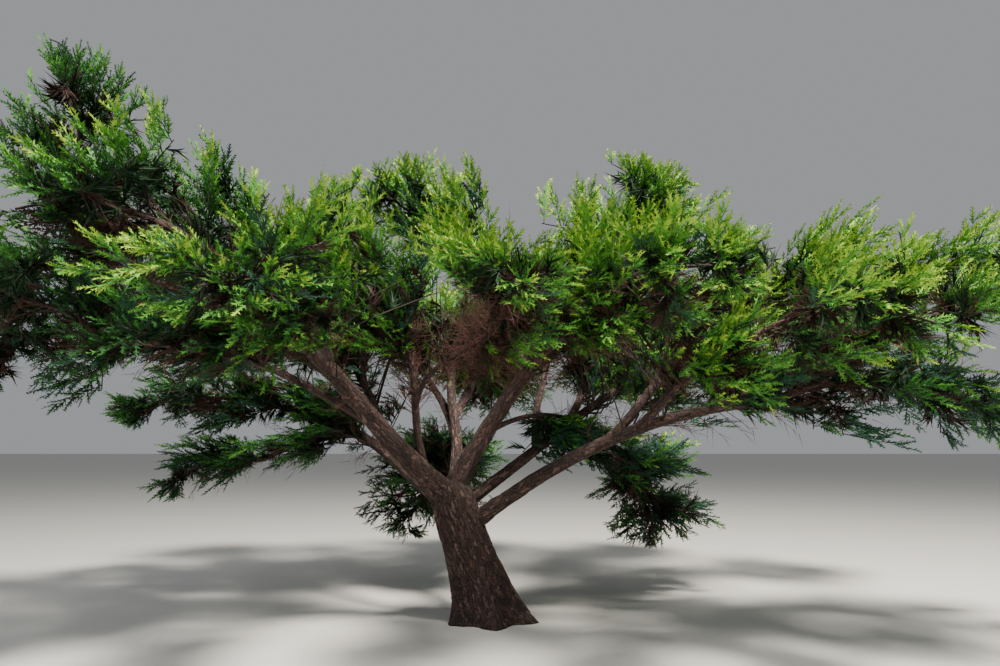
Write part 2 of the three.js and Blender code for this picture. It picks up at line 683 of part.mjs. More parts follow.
// The stem of a mass carries on from the tip of its bough.
function stemSolid(mass, extra = 0) {
  const end = stemPoint(mass, STEM_SHARE);
  const past = end.clone().sub(mass.from).setLength(extra);
  const radius = mass.bough.tip + extra;
  return rodSolid(mass.from.clone().sub(past), end.add(past), radius, radius * STEM_TAPER, STEM_SIDES);
}

// The core, cut clear of the limbs, of the other masses' stems and of the cores that are there already.
function cutCore(mass, masses, limbs, cores, random) {
  const { core, grownCore } = coreSolids(mass, masses, random);
  const stems = masses.filter((other) => other !== mass).map((other) => other.grownStem);
  let cut = core;
  for (const solid of [...limbs.map((limb) => limb.wide), ...stems, ...cores]) {
    if (boxesMeet(cut, solid)) cut = cut.subtract(solid);
  }
  cores.push(grownCore);
  return largestPiece(cut);
}

function growMass(mass, masses, limbs, taken, random) {
  const isFree = (solid) =>
    pointsOf(solid).every((point) => isOwn(mass, masses, point)) &&
    taken.every((other) => other.owner === mass || isApart(solid, other));
  const keep = (solid) => {
    mass.parts.push(solid);
    taken.push({ owner: mass, solid });
  };
  const wanted = Math.round((TWIGS_PER_METRE * mass.length) / 1000);
  let grown = 0;
  for (let tries = 0; tries < wanted * MOST_TRIES && grown < wanted; tries++) {
    const t = mix(TWIG_START, TWIG_END, (tries * STEP_PER_TWIG + STEP_JITTER * random()) % 1);
    const turn = radians(tries * TURN_PER_TWIG + TURN_JITTER * random());
    const [twig, ...sprays] = twigSolids(mass, t, turn, random);
    const kept = sprays.filter(isFree);
    if (!kept.length || !isFree(twig)) continue;
    [twig, ...kept].forEach(keep);
    grown += 1;
  }
  const { along, side, over } = stationOf(mass, END_SPRAY_WAY);
  for (const aside of END_SPRAY_ASIDE) {
    const way = along.clone().addScaledVector(side, aside);
    const root = stemPoint(mass, END_SPRAY_ROOT);
    const spray = spraySolid(root, way, over, LONGEST_SPRAY * END_SPRAY_LENGTH);
    if (isFree(spray)) keep(spray);
  }
  let whole = wasm.Manifold.union(mass.parts);
  for (const limb of limbs) {
    if (boxesMeet(whole, limb.grown)) whole = whole.subtract(limb.grown);
  }
  return cleanPiece(whole);
}

function growTree() {
  const limbs = growLimbs();
  const boughs = [...limbs.values()];
  const fork = limbs.get("trunk").to;
  const masses = MASSES.map((row) => planMass(row, limbs, fork));
  const random = seededRandom(SEED);
  for (const mass of masses) {
    mass.grownStem = stemSolid(mass, CORE_TO_CORE);
  }
  const cores = [];
  for (const mass of masses) {
    mass.parts = [cutCore(mass, masses, boughs, cores, random), stemSolid(mass)];
  }
  const taken = boughs.map((limb) => ({ owner: limb, solid: limb.solid }));
  taken.push(...masses.flatMap((mass) => mass.parts.map((solid) => ({ owner: mass, solid }))));
  const solids = new Map([...limbs].map(([name, limb]) => [name, limb.solid]));
  for (const mass of masses) {
    solids.set(mass.name, growMass(mass, masses, boughs, taken, random));
  }
  return solids;
}

function meshOf(name, solid) {
  const colours = name.startsWith("mass") ? COLOURS.foliage : COLOURS.bark;
  const mesh = new THREE.Mesh(geometryFrom(solid), new THREE.MeshStandardMaterial(colours));
  mesh.name = name;
  return mesh;
}

const tree = new THREE.Group();
for (const [name, solid] of growTree()) {
  tree.add(meshOf(name, solid));
}

export default tree;
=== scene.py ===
import functools
import math

import bpy
import numpy as np
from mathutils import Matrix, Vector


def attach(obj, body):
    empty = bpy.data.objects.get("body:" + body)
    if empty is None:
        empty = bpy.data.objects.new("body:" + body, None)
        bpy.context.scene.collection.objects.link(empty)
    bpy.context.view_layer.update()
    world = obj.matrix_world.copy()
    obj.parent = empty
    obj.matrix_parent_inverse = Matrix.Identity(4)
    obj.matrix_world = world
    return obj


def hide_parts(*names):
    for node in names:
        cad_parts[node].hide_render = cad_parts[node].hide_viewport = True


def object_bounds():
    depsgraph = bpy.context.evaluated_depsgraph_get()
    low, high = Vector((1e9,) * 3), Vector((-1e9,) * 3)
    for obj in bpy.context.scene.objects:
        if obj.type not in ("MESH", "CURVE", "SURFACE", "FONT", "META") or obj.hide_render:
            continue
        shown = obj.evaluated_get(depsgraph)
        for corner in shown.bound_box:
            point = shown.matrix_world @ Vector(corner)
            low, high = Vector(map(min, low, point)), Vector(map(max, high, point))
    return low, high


bl_info = {
    "name": "Spreading Juniper",
    "version": (1, 0, 0),
    "blender": (4, 2, 0),
    "location": "3D View > Sidebar > Juniper",
    "description": "Bark, twigs, feathery sprays and the stage of a wide-spreading juniper",
    "category": "Add Mesh",
}

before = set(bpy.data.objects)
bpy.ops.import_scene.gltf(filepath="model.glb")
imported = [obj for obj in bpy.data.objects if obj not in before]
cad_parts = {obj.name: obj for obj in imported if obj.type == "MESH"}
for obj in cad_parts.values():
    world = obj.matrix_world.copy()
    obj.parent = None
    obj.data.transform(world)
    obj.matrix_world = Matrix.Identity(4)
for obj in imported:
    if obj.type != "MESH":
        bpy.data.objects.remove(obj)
CAD_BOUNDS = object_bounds()

MM = 0.001
UP = np.array([0.0, 0.0, 1.0])

# The limbs, as the part has them: key, parent, share of the parent's length where it leaves, then the
# bearing, reach and height of its tip, how far it bows up and sways aside, and its radii at foot and tip.
# A bough's name is its key after "bough_", and a mass's name is its key after "mass_".
LIMBS = (
    ("trunk", None, 0, 180, 380, 1150, 0, 25, 245, 190),
    ("left", "trunk", 0.9, 216, 2250, 2700, 20, 60, 112, 46),
    ("left_under", "left", 0.36, 200, 2500, 2330, 90, 50, 38, 24),
    ("left_apex", "left", 0.74, 207, 3230, 2950, -40, 40, 46, 30),
    ("left_front", "left", 0.66, 236, 2300, 2380, 60, -40, 42, 28),
    ("left_fore", "left_under", 0.6, 213, 3050, 2250, 40, 30, 27, 21),
    ("left_shoulder", "left", 0.6, 200, 2000, 2980, -40, -40, 44, 30),
    ("left_far", "left", 0.54, 178, 2450, 2520, 120, 40, 42, 28),
    ("stem", "left", 0.13, 208, 850, 2480, 0, 30, 38, 28),
    ("stem_side", "stem", 0.52, 268, 1180, 2330, 110, 50, 24, 20),
    ("centre", "trunk", 0.97, 331, 800, 2560, 150, -20, 88, 48),
    ("centre_plume", "centre", 0.62, 80, 420, 2900, 40, 20, 46, 32),
    ("centre_front", "centre", 0.7, 307, 1400, 2440, 60, 30, 42, 30),
    ("centre_arched", "centre", 0.28, 22, 1500, 1300, 330, 30, 24, 16),
    ("right", "trunk", 0.68, 338, 2300, 1880, 225, -40, 72, 38),
    ("right_front", "right", 0.62, 319, 2150, 2130, 60, -20, 38, 28),
    ("right_upper", "right", 0.52, 343, 1850, 2640, -60, 30, 42, 32),
    ("right_outer", "right", 0.84, 334, 2950, 2340, -50, 20, 36, 28),
    ("right_arch", "right", 0.88, 350, 2950, 2060, 90, 20, 33, 26),
    ("right_back", "trunk", 0.84, 33, 2050, 2360, 60, 50, 58, 34),
    ("back_right", "right_back", 0.5, 57, 2150, 2420, 60, 30, 42, 32),
    ("back_stem", "trunk", 0.96, 112, 1000, 2620, -50, 40, 58, 36),
    ("back", "back_stem", 0.5, 92, 2100, 2420, 110, 30, 42, 32),
    ("back_low", "trunk", 0.6, 108, 1500, 1320, 130, 30, 56, 32),
    ("back_left", "trunk", 0.78, 147, 2200, 1830, 130, -50, 62, 38),
    ("back_left_up", "back_left", 0.45, 136, 2250, 2680, 60, 30, 46, 34),
    ("back_left_under", "back_left", 0.7, 156, 2550, 1420, 60, 20, 34, 26),
    ("back_rise", "back_stem", 0.35, 121, 1800, 2620, 60, 30, 40, 30),
    ("back_crest", "right_back", 0.35, 71, 1750, 2600, 60, -30, 40, 30),
    ("back_inner", "back_left_up", 0.45, 157, 1450, 2620, -40, 20, 34, 28),
)

# The flare and the root lobes at the ground, the collar where a bough leaves, and the dome on the trunk,
# as shares of its height and radius
FLARE_HEIGHT = 260
FLARE_SPREAD = 0.42
FLARE_LOBES = 5
FLARE_LOBE_DEPTH = 0.16
FLARE_LOBE_TURN = 1
FLARED_GIRTH = 1.4
DOME = ((1.0, 1.0), (1.03, 0.95), (1.06, 0.8), (1.08, 0.5), (1.09, 0.2))
COLLAR_SWELL = 0.28
COLLAR_LENGTH = 150
COLLAR_MOST = 0.93
LIMB_TAPER = 0.8
LIMB_POINTS = 33
LIMB_SAMPLES = 17
LEAST_RINGS = 12
SIDES_RANGE = (12, 110)

# The bark's relief: waves as height, number round the limb and turn per metre, which make its hollows and
# bend its cracks, then the plates between the cracks, how much painted shade darkens the cracks, and the
# knots
FLUTES = ((0.5, 3, 1.4), (0.32, 5, -1.0), (0.3, 2, 0.8))
WARPS = ((0.5, 0, 2.1), (0.3, 1, 5.3))
FLUTE_DEPTH = 0.08
BARK_TWIST = 0.35
LEAST_PLATES = 5
FINE_PLATE_SHARE = 0.55
CRACK_EDGE = 3.2
FINE_CRACK_EDGE = 2.6
CRACK_DEPTH = 0.9
FINE_CRACK_DEPTH = 0.4
CRACK_SHADE = 0.75
FINE_CRACK_SHADE = 0.3
MOST_SHADE = 0.9
FULL_RIDGE_RADIUS = 0.11
RIDGE_RANGE = (0.12, 1.4)
KNOTS_PER_METRE = 1.5
KNOT_PLACES = (0.05, 0.7)
KNOT_SPREAD = 0.28
LEAST_KNOT = 0.006
KNOT_HEIGHT = 0.14

# The bark's patterns: how far each is shrunk along the limb, which draws it out, and patches per metre
STRIPS_ALONG = 0.2
FIBRES_ALONG = 0.05
FLAKES_ALONG = 0.3
WANDERS_PER_METRE = 30.0
WANDER_SHARE = 0.05
WEATHER_PER_METRE = 5.0
LICHEN_PER_METRE = 5.5

# Half the share of a line over which its direction is measured
FRAME_STEP = 0.01

# The masses of foliage, as the part has them: key, bough, the bearing, reach and height of the furthest
# tip, how far the stem arches up, and the width and depth of the mass's own space.
MASSES = (
    ("left", "left", 219, 3850, 2900, 300, 1800, 1400),
    ("left_under", "left_under", 194, 4300, 2050, 230, 2000, 1150),
    ("left_apex", "left_apex", 210, 3430, 4340, 0, 1350, 1350),
    ("left_front", "left_front", 246, 3500, 2250, 190, 2600, 1200),
    ("left_fore", "left_fore", 213, 4450, 2130, 280, 1900, 1200),
    ("left_shoulder", "left_shoulder", 196, 3150, 3560, 150, 2000, 1400),
    ("left_far", "left_far", 180, 4700, 3020, 260, 2100, 1500),
    ("stem_top", "stem", 205, 1750, 3500, 60, 2100, 1900),
    ("stem_front", "stem_side", 274, 2650, 2480, 150, 2600, 1050),
    ("right_apex", "centre", 339, 1600, 3780, 20, 2200, 1800),
    ("centre_plume", "centre_plume", 168, 1150, 4000, 90, 2200, 1500),
    ("centre_front", "centre_front", 303, 2950, 2500, 240, 2500, 1300),
    ("right_skirt", "centre_arched", 46, 2600, 520, 160, 1700, 1000),
    ("right_low", "right", 338, 3950, 1720, 200, 2000, 1150),
    ("right_front", "right_front", 321, 3700, 2200, 260, 2000, 1300),
    ("right_upper", "right_upper", 349, 4400, 3100, -60, 2100, 1300),
    ("right_outer", "right_outer", 334, 4500, 2800, -60, 1700, 1150),
    ("right_arch", "right_arch", 351, 4750, 1120, 380, 1300, 900),
    ("right_back", "right_back", 16, 4350, 2800, 200, 2600, 1700),
    ("back_right", "back_right", 51, 4100, 2600, 200, 2800, 1900),
    ("back_top", "back_stem", 70, 1900, 3450, 60, 2300, 1900),
    ("back", "back", 92, 4000, 2450, 160, 2800, 1900),
    ("back_low", "back_low", 112, 2850, 520, 200, 2100, 1000),
    ("back_left", "back_left", 158, 4450, 1920, 190, 1900, 1000),
    ("back_left_up", "back_left_up", 138, 4150, 2750, 220, 2800, 1900),
    ("back_left_under", "back_left_under", 157, 4000, 1050, 130, 1400, 760),
    ("back_rise", "back_rise", 114, 3300, 3150, 260, 2400, 1600),
    ("back_crest", "back_crest", 73, 3250, 3100, 280, 2300, 1600),
    ("back_inner", "back_inner", 166, 2300, 3450, 120, 2100, 1500),
)
SPINE_SAMPLES = 14
WIDEST_AT = 0.42
FOOT_SHARE = 0.55
TIP_SHARE = 0.2
TIP_TAPER = 1.9
SPACE_MARGIN = 0.03
SAMPLE_OVERLAP = 1.6
NEIGHBOUR_ROOM = 0.7

# The stem of a mass: how it eases off its bough, and its end
SPINE_JOIN = 0.25
STEM_POINTS = 30
STEM_END = 0.92
STEM_TIP = 0.007
STEM_TAPER = 0.75

# A mass also runs back over its bough as a shelf: places on it are shares from 0 down to -1.
SHELF_SAMPLES = 5
SHELF_REACH = 0.7
LONGEST_SHELF = 1.5
SHELF_LIFT = 0.34
SHELF_END_SHARE = 0.5

# How twigs are set round and along a mass, in degrees and shares
TURN_PER_TWIG = 137.5
STEP_PER_TWIG = 0.414
TWIG_START = -0.95
TWIG_END = 0.97
SHELF_TWIGS = 1.2
TURN_JITTER = 30
STEP_JITTER = 0.1
LEAST_ROOT_SHARE = 0.3
STEM_AREA_SHARE = 0.75
SHELF_AREA_SHARE = 0.8
SEED = 20

# How full of growth a mass is. Edges are shares of the half size of its space.
TWIGS_PER_SQUARE_METRE = 2.5
PLUMES_PER_TWIG = 6
SPRAYS_PER_PLUME = 12
TUFTS_PER_TWIG = 17
DEAD_TWIGS_PER_METRE = 62
TWIG_EDGE = 1.0
INNER_EDGE = 1.12
OUTER_EDGE = 1.36
LIMB_GAP = 0.012
ROOM_OUTSIDE = 0.018
LEAST_HEIGHT = 0.05
NEAR_LIMBS = 3.2
MOST_TRIANGLES = 190000

# Twigs: how far out and ahead they reach as shares of the half size, how they bend, and radii in metres
TWIG_REACH = (0.42, 0.92)
TWIG_FORWARD = (0.15, 0.5)
TWIG_TRIES = 6
TWIG_DRAW_IN = (0.8, 0.9)
TWIG_BEND = (0.5, 0.22)
SHORTEST_TWIG = 0.08
LEAST_TWIGS = 6
TWIG_RADII = (0.0105, 0.004)
TWIG_STEPS = 5
TWIG_SIDES = 4

# Plumes: lengths in metres at the twig's foot and end, and the shares of the ways that they follow
PLUME_LENGTH = (0.56, 0.38)
PLUME_LENGTH_RANGE = (0.8, 1.15)
PLUME_START = 0.25
PLUME_STAGGER = 0.4
PLUME_SPLAY = (0.75, 0.4)
LAST_PLUME_SPLAY = 0.1
PLUME_ALONG = 0.8
PLUME_OUT = 0.55
PLUME_UP = 0.15
PLUME_SAG = (0.01, 0.05)
PLUME_TRIES = 5
PLUME_DRAW_IN = 0.74
PLUME_RADIUS = 0.0042
RISER_SHARE = 0.03
RISER_LEAST_UP = 0.3
RISER_LEAN = (0.45, 0.2)

# Sprays and tufts: lengths in metres, about twice the real ones, as the number of triangles allows, rolls
# in degrees, and how far they stand off their plume or twig
SPRAY_LENGTH = (0.185, 0.12)
SPRAY_LENGTH_RANGE = (0.8, 1.2)
SPRAY_START = 0.05
SPRAY_STAGGER = 0.3
SPRAY_SPREAD = (0.75, 0.4)
SPRAY_SPREAD_RANGE = (0.75, 1.25)
LAST_SPRAY_SPREAD = 0.05
SPRAY_UP = 0.06
PLUME_ROLL = 70
SPRAY_ROLL = 110
SPRAY_PAST_EDGE = 0.08
CLEAR_AT = 0.6
USUAL_PLUME = 0.36
SPRAY_FIT = (0.6, 1.1)
TUFT_PLACES = (0.15, 0.95)
TUFT_ALONG = 0.6
TUFT_LENGTH = (0.2, 0.32)
TUFT_EDGE = 0.74

# Dead twigs: lengths and radii in metres, and the side twigs on each one
DEAD_STRETCH = 0.6
DEAD_ALONG = (0.5, 1.3)
DEAD_LENGTH = (0.22, 0.55)
DEAD_LENGTH_POWER = 1.4
DEAD_RADIUS = 0.0042
SIDE_TWIGS = 5
SIDE_PLACES = (0.25, 0.95)
SIDE_STRAY = 1.5
SIDE_LENGTH = (0.26, 0.12)
SIDE_LENGTH_RANGE = (0.7, 1.2)
SIDE_RADIUS = 0.0024
DEAD_FROM = 14
DEAD_PAST_LIMB = 16

# The boughs with a brush of bare twigs, and how many times as many they carry
BRUSHY = {
    "stem": 4,
    "stem_side": 6,
    "centre": 4,
    "centre_front": 3,
    "centre_plume": 2,
    "right_upper": 2,
    "back_stem": 2,
}

# Where only bare twigs are left in the crown: centre and reaches, in metres
BARE_SPOTS = (((-0.5, -1.7, 2.3), (0.5, 1.1, 0.42)), ((0.9, -0.9, 1.95), (0.9, 0.8, 0.25)))

# The masses that hang in the shade behind the limbs or close the crown's middle, and how much more
# crowded than the rest they are
CROWDED = {
    "left_apex": 1.35,
    "stem_top": 1.25,
    "right_apex": 1.25,
    "centre_plume": 1.2,
    "back_inner": 1.3,
    "back_top": 1.3,
    "back": 1.3,
    "back_right": 1.35,
    "back_low": 1.9,
    "right_skirt": 1.9,
    "back_left": 1.3,
    "back_left_under": 1.3,
}

# The drawn sprays: how many kinds, the angles of their fingers and blades in degrees, and lengths as shares
FEATHER_KINDS = 8
FINGER_PLACES = (0.06, 0.8)
FINGER_JITTER = 0.04
FINGER_ANGLE = (32, 58)
FINGER_TURN = (-35, 55)
FINGER_TAPER = 0.45
OUTER_FROM = 0.45
TUFT_KINDS = 6
BLADE_ANGLE = (10, 42)
BLADE_LENGTH = (0.3, 0.6)

# The tints of the sprays, from the newest and most lit growth to the oldest and most shaded: partly their
# growth, partly painted light and painted shade
TINTS = ("tip", "sunlit", "green", "deep", "shade", "bluish", "brown")
BLUISH_TINT = 5
BROWN_TINT = 6
SHADE_TINT = 4
TINT_LIMITS = ((3, 0.17), (2, 0.46), (1, 0.8))
# How much lighter a spray's tint is made: newer growth along its plume, newer growth and painted light
# outside, painted light on top and painted shade underneath, and chance by plume and by spray
FRESH_ALONG = 0.42
FRESH_AND_LIT_OUTSIDE = 0.6
# Painted light on the tops of the masses and painted shade underneath
PAINTED_LIGHT_ON_TOP = 0.6
FRESH_BY_PLUME = 0.26
FRESH_BY_SPRAY = 0.2

# The shares of sprays that are bluish in the bluish masses and elsewhere, and brown underneath and
# elsewhere, and the share of tufts that are green under the stem and over it
BLUISH_SHARES = (0.6, 0.1)
BLUISH_UP_TO = 0.92
BROWN_SHARES = (0.5, 0.04)
BROWN_UP_TO = 0.5
GREEN_TUFTS = (0.5, 0.93)
BLUISH_MASSES = ("right_arch", "right_low", "left_under", "right_skirt")

# How much painted shade darkens, or painted light brightens, the foliage of a mass beyond the rest
PAINTED_LIGHT_BY_MASS = {
    "left": -0.4,
    "left_apex": -0.55,
    "left_under": -0.7,
    "left_far": -0.6,
    "left_shoulder": -0.5,
    "left_fore": -0.65,
    "left_front": -0.1,
    "right_apex": 0.12,
    "right_upper": 0.2,
    "right_front": 0.18,
    "right_outer": 0.15,
    "centre_plume": 0.1,
    "centre_front": 0.15,
    "right_low": -0.35,
    "right_arch": -0.2,
    "right_skirt": -0.5,
    "back_low": -0.6,
    "back_left": -0.6,
    "back_left_under": -0.7,
}

# The sockets of a node that mixes two colours
MIX_FIRST = 6
MIX_SECOND = 7
MIX_RESULT = 2

# The stage, in metres and degrees
FLOOR_HALF = 300.0
LIT_SPOT = (0.0, 0.0, 2.0)
KEY_SPOT = (3.5, -5.5, 14.0)
KEY_SIZE = 3.5
FILL_SPOT = (-9.0, -8.0, 7.0)
FILL_SIZE = 7.0
FILL_SHARE = 0.06
EYE_ASIDE = 0.072
EYE_TILT = 94.5
SENSOR_WIDTH = 36.0
LENS_SHIFT = 0.0558

# A way that no twig takes, and one that no limb starts in
NEARLY_UP = UP + 0.01
OBLIQUE = (0.3, 0.9, 0.1)


def mix(a, b, t):
    return a + (b - a) * t


def unit(vectors):
    return vectors / np.maximum(np.linalg.norm(vectors, axis=-1, keepdims=True), 1e-9)


def place(bearing, reach, height):
    angle = math.radians(bearing)
    return np.array([reach * math.cos(angle), reach * math.sin(angle), height]) * MM


def linear(hex_colour):
    """An sRGB hex colour as linear red, green, blue and alpha."""
    channels = [int(hex_colour[i : i + 2], 16) / 255 for i in (1, 3, 5)]
    parts = [c / 12.92 if c <= 0.04045 else ((c + 0.055) / 1.055) ** 2.4 for c in channels]
    return (*parts, 1.0)


def frames_at(start, end, along):
    """The aside and over directions of a line that stays near one upright plane."""
    flat = (end - start) * np.array([1.0, 1.0, 0.0])
    aside = unit(np.cross(UP, flat)) if np.linalg.norm(flat) > MM else np.array([1.0, 0.0, 0.0])
    over = unit(np.cross(along, aside))
    return unit(np.cross(over, along)), over


def arc(start, middle, finish, s):
    """Points on the curve from start to finish that middle pulls towards itself."""
    return start * (1 - s) ** 2 + middle * 2 * s * (1 - s) + finish * s**2


def arc_way(start, middle, finish, s):
    return unit((middle - start) * (1 - s) + (finish - middle) * s)


def on_arcs(start, middle, finish, s):
    """Points and directions on many curves, at a row of shares for each."""
    ends = (start[:, None], middle[:, None], finish[:, None])
    return arc(*ends, s), arc_way(*ends, s)


def staggered(number, stagger, chance):
    """Numbered places from 0 to 1 along a line, each a little off its even place."""
    return (number + stagger * chance) / (number.size - 1 + stagger)


def across(way):
    """Two directions square to a way: level, and up."""
    level = unit(np.cross(way, UP))
    return level, np.cross(level, way)


def turned(first, second, turn):
    return first * np.cos(turn) + second * np.sin(turn)


def between_points(points, places, own_places=None):
    """The points of a line at places, which count its own points unless own_places gives theirs."""
    own_places = np.arange(len(points)) if own_places is None else own_places
    return np.stack([np.interp(places, own_places, points[:, axis]) for axis in range(3)], axis=1)


class Limb:
    """The trunk or a bough: a tapering line that bows and sways between its foot and its tip."""

    def __init__(self, row, limbs):
        self.key, parent, share, bearing, reach, height, bow, sway, foot, tip = row
        self.name = "bough_" + self.key if parent else self.key
        self.start = limbs[parent].points(np.array([share]))[0] if parent else np.zeros(3)
        self.end = place(bearing, reach, height)
        self.bow, self.sway, self.foot, self.tip = bow * MM, sway * MM, foot * MM, tip * MM
        self.length = float(np.linalg.norm(self.end - self.start))
        self.most = limbs[parent].radii(np.array([share]))[0] * COLLAR_MOST if parent else 1.0
        self.mass = None

    def points(self, t):
        flat = unit((self.end - self.start) * np.array([1.0, 1.0, 0.0]))
        t = t[:, None]
        line = mix(self.start, self.end, t) + UP * self.bow * 4 * t * (1 - t)
        return line + np.cross(flat, UP) * self.sway * np.sin(2 * np.pi * t)

    def directions(self, t):
        return unit(self.points(t + FRAME_STEP) - self.points(t - FRAME_STEP))

    def radii(self, t):
        bare = mix(self.foot, self.tip, np.clip(t, 0, 1) ** LIMB_TAPER)
        if self.name == "trunk":
            return bare
        collared = bare * (1 + COLLAR_SWELL * np.exp(-t * self.length / (COLLAR_LENGTH * MM)))
        return np.minimum(collared, self.most)

    def line(self):
        """Points and radii from the limb's foot on through the stem of its mass."""
        t = np.linspace(0, 1, LIMB_POINTS)
        points, radii = self.points(t), self.radii(t)
        if self.mass:
            s = np.linspace(0, STEM_END, STEM_POINTS)[1:]
            points = np.concatenate([points, self.mass.spine(s)])
            radii = np.concatenate([radii, mix(self.tip, STEM_TIP, (s / STEM_END) ** STEM_TAPER)])
        return points, radii


class Mass:
    """A mass of foliage: its arched stem and the space round it that the mass keeps to."""

    def __init__(self, row, limbs):
        self.key, bough, bearing, reach, height, arch, width, depth = row
        self.name = "mass_" + self.key
        self.bough = limbs[bough]
        self.bough.mass = self
        self.start = self.bough.end
        self.end = place(bearing, reach, height)
        self.arch, self.width, self.depth = arch * MM, width * MM, depth * MM
        self.length = float(np.linalg.norm(self.end - self.start))
        inward = (limbs["trunk"].end - self.start) * np.array([1.0, 1.0, 0.0])
        self.shelf = min(LONGEST_SHELF, SHELF_REACH * float(np.linalg.norm(inward)))
        self.inward = unit(inward)
        shelf_shares = -np.arange(1, SHELF_SAMPLES + 1) / SHELF_SAMPLES
        self.samples = self.stations(np.concatenate([shelf_shares, np.linspace(0, 1, SPINE_SAMPLES + 1)]))
        self.reach_along = SAMPLE_OVERLAP * self.length / SPINE_SAMPLES

    def stem(self, t):
        t = t[:, None]
        return mix(self.start, self.end, t) + UP * self.arch * 4 * t * (1 - t)

    def shelf_points(self, t):
        lift = SHELF_LIFT * self.depth * np.sin(np.pi / 2 * np.clip(-t, 0, 1))
        return self.start - self.inward * (t * self.shelf)[:, None] + UP * lift[:, None]

    def roots(self, t):
        """Where twigs leave: on the stem, or on the bough under the shelf."""
        share = np.clip(1 + t * self.shelf / self.bough.length, LEAST_ROOT_SHARE, 1)
        return np.where(t[:, None] < 0, self.bough.points(share), self.spine(np.maximum(t, 0)))

    def spine(self, t):
        """The stem, eased so that it carries on the way the bough points."""
        join = np.array([SPINE_JOIN])
        target = self.stem(join)[0]
        leave = self.bough.directions(np.array([1.0]))[0]
        arrive = unit(self.stem(join + FRAME_STEP) - self.stem(join - FRAME_STEP))[0]
        span = np.linalg.norm(target - self.start)
        s = np.clip(t / SPINE_JOIN, 0, 1)[:, None]
        eased = self.start * (1 - 3 * s**2 + 2 * s**3) + target * (3 * s**2 - 2 * s**3)
        eased = eased + leave * span * (s - 2 * s**2 + s**3) + arrive * span * (s**3 - s**2)
        return np.where(t[:, None] < SPINE_JOIN, eased, self.stem(t))

    def stations(self, t):
        """Centre, along, side and over directions, and half width and depth, at shares of the stem."""
        is_shelf = (t < 0)[:, None]
        along = unit(self.stem(t + FRAME_STEP) - self.stem(t - FRAME_STEP))
        side, over = frames_at(self.start, self.end, along)
        along = np.where(is_shelf, -self.inward, along)
        side = np.where(is_shelf, np.cross(UP, -self.inward), side)
        over = np.where(is_shelf, UP, over)
        centre = np.where(is_shelf, self.shelf_points(t), self.stem(t))
        rise = mix(FOOT_SHARE, 1, np.sin(np.pi / 2 * np.clip(t / WIDEST_AT, 0, 1)))
        fall = mix(1, TIP_SHARE, np.clip((t - WIDEST_AT) / (1 - WIDEST_AT), 0, 1) ** TIP_TAPER)
        share = np.where(t < WIDEST_AT, rise, fall)
        share = np.where(t < 0, mix(FOOT_SHARE, SHELF_END_SHARE, -t), share)
        return centre, along, side, over, self.width / 2 * share, self.depth / 2 * share

    def depth_in(self, points):
        """How deep in the space each point lies: 0 on the stem, 1 on the outside."""
        centre, along, side, over, wide, deep = self.samples
        offset = points[:, None, :] - centre[None]
        a = np.sum(offset * side, axis=2) / wide
        b = np.sum(offset * over, axis=2) / deep
        c = np.sum(offset * along, axis=2) / self.reach_along
        return np.sqrt(np.min(a * a + b * b + c * c, axis=1))

    def height_in(self, points):
        """How high over the stem each point lies, as a share of the half depth."""
        centre = self.samples[0]
        nearest = np.argmin(np.linalg.norm(points[:, None] - centre[None], axis=2), axis=1)
        return np.clip((points - centre[nearest])[:, 2] / (self.depth / 2), -1, 1)

    def area(self):
        """About how large the outside of the space is, in square metres."""
        length = self.length * STEM_AREA_SHARE + self.shelf * SHELF_AREA_SHARE
        return math.pi * (self.width + self.depth) / 2 * length


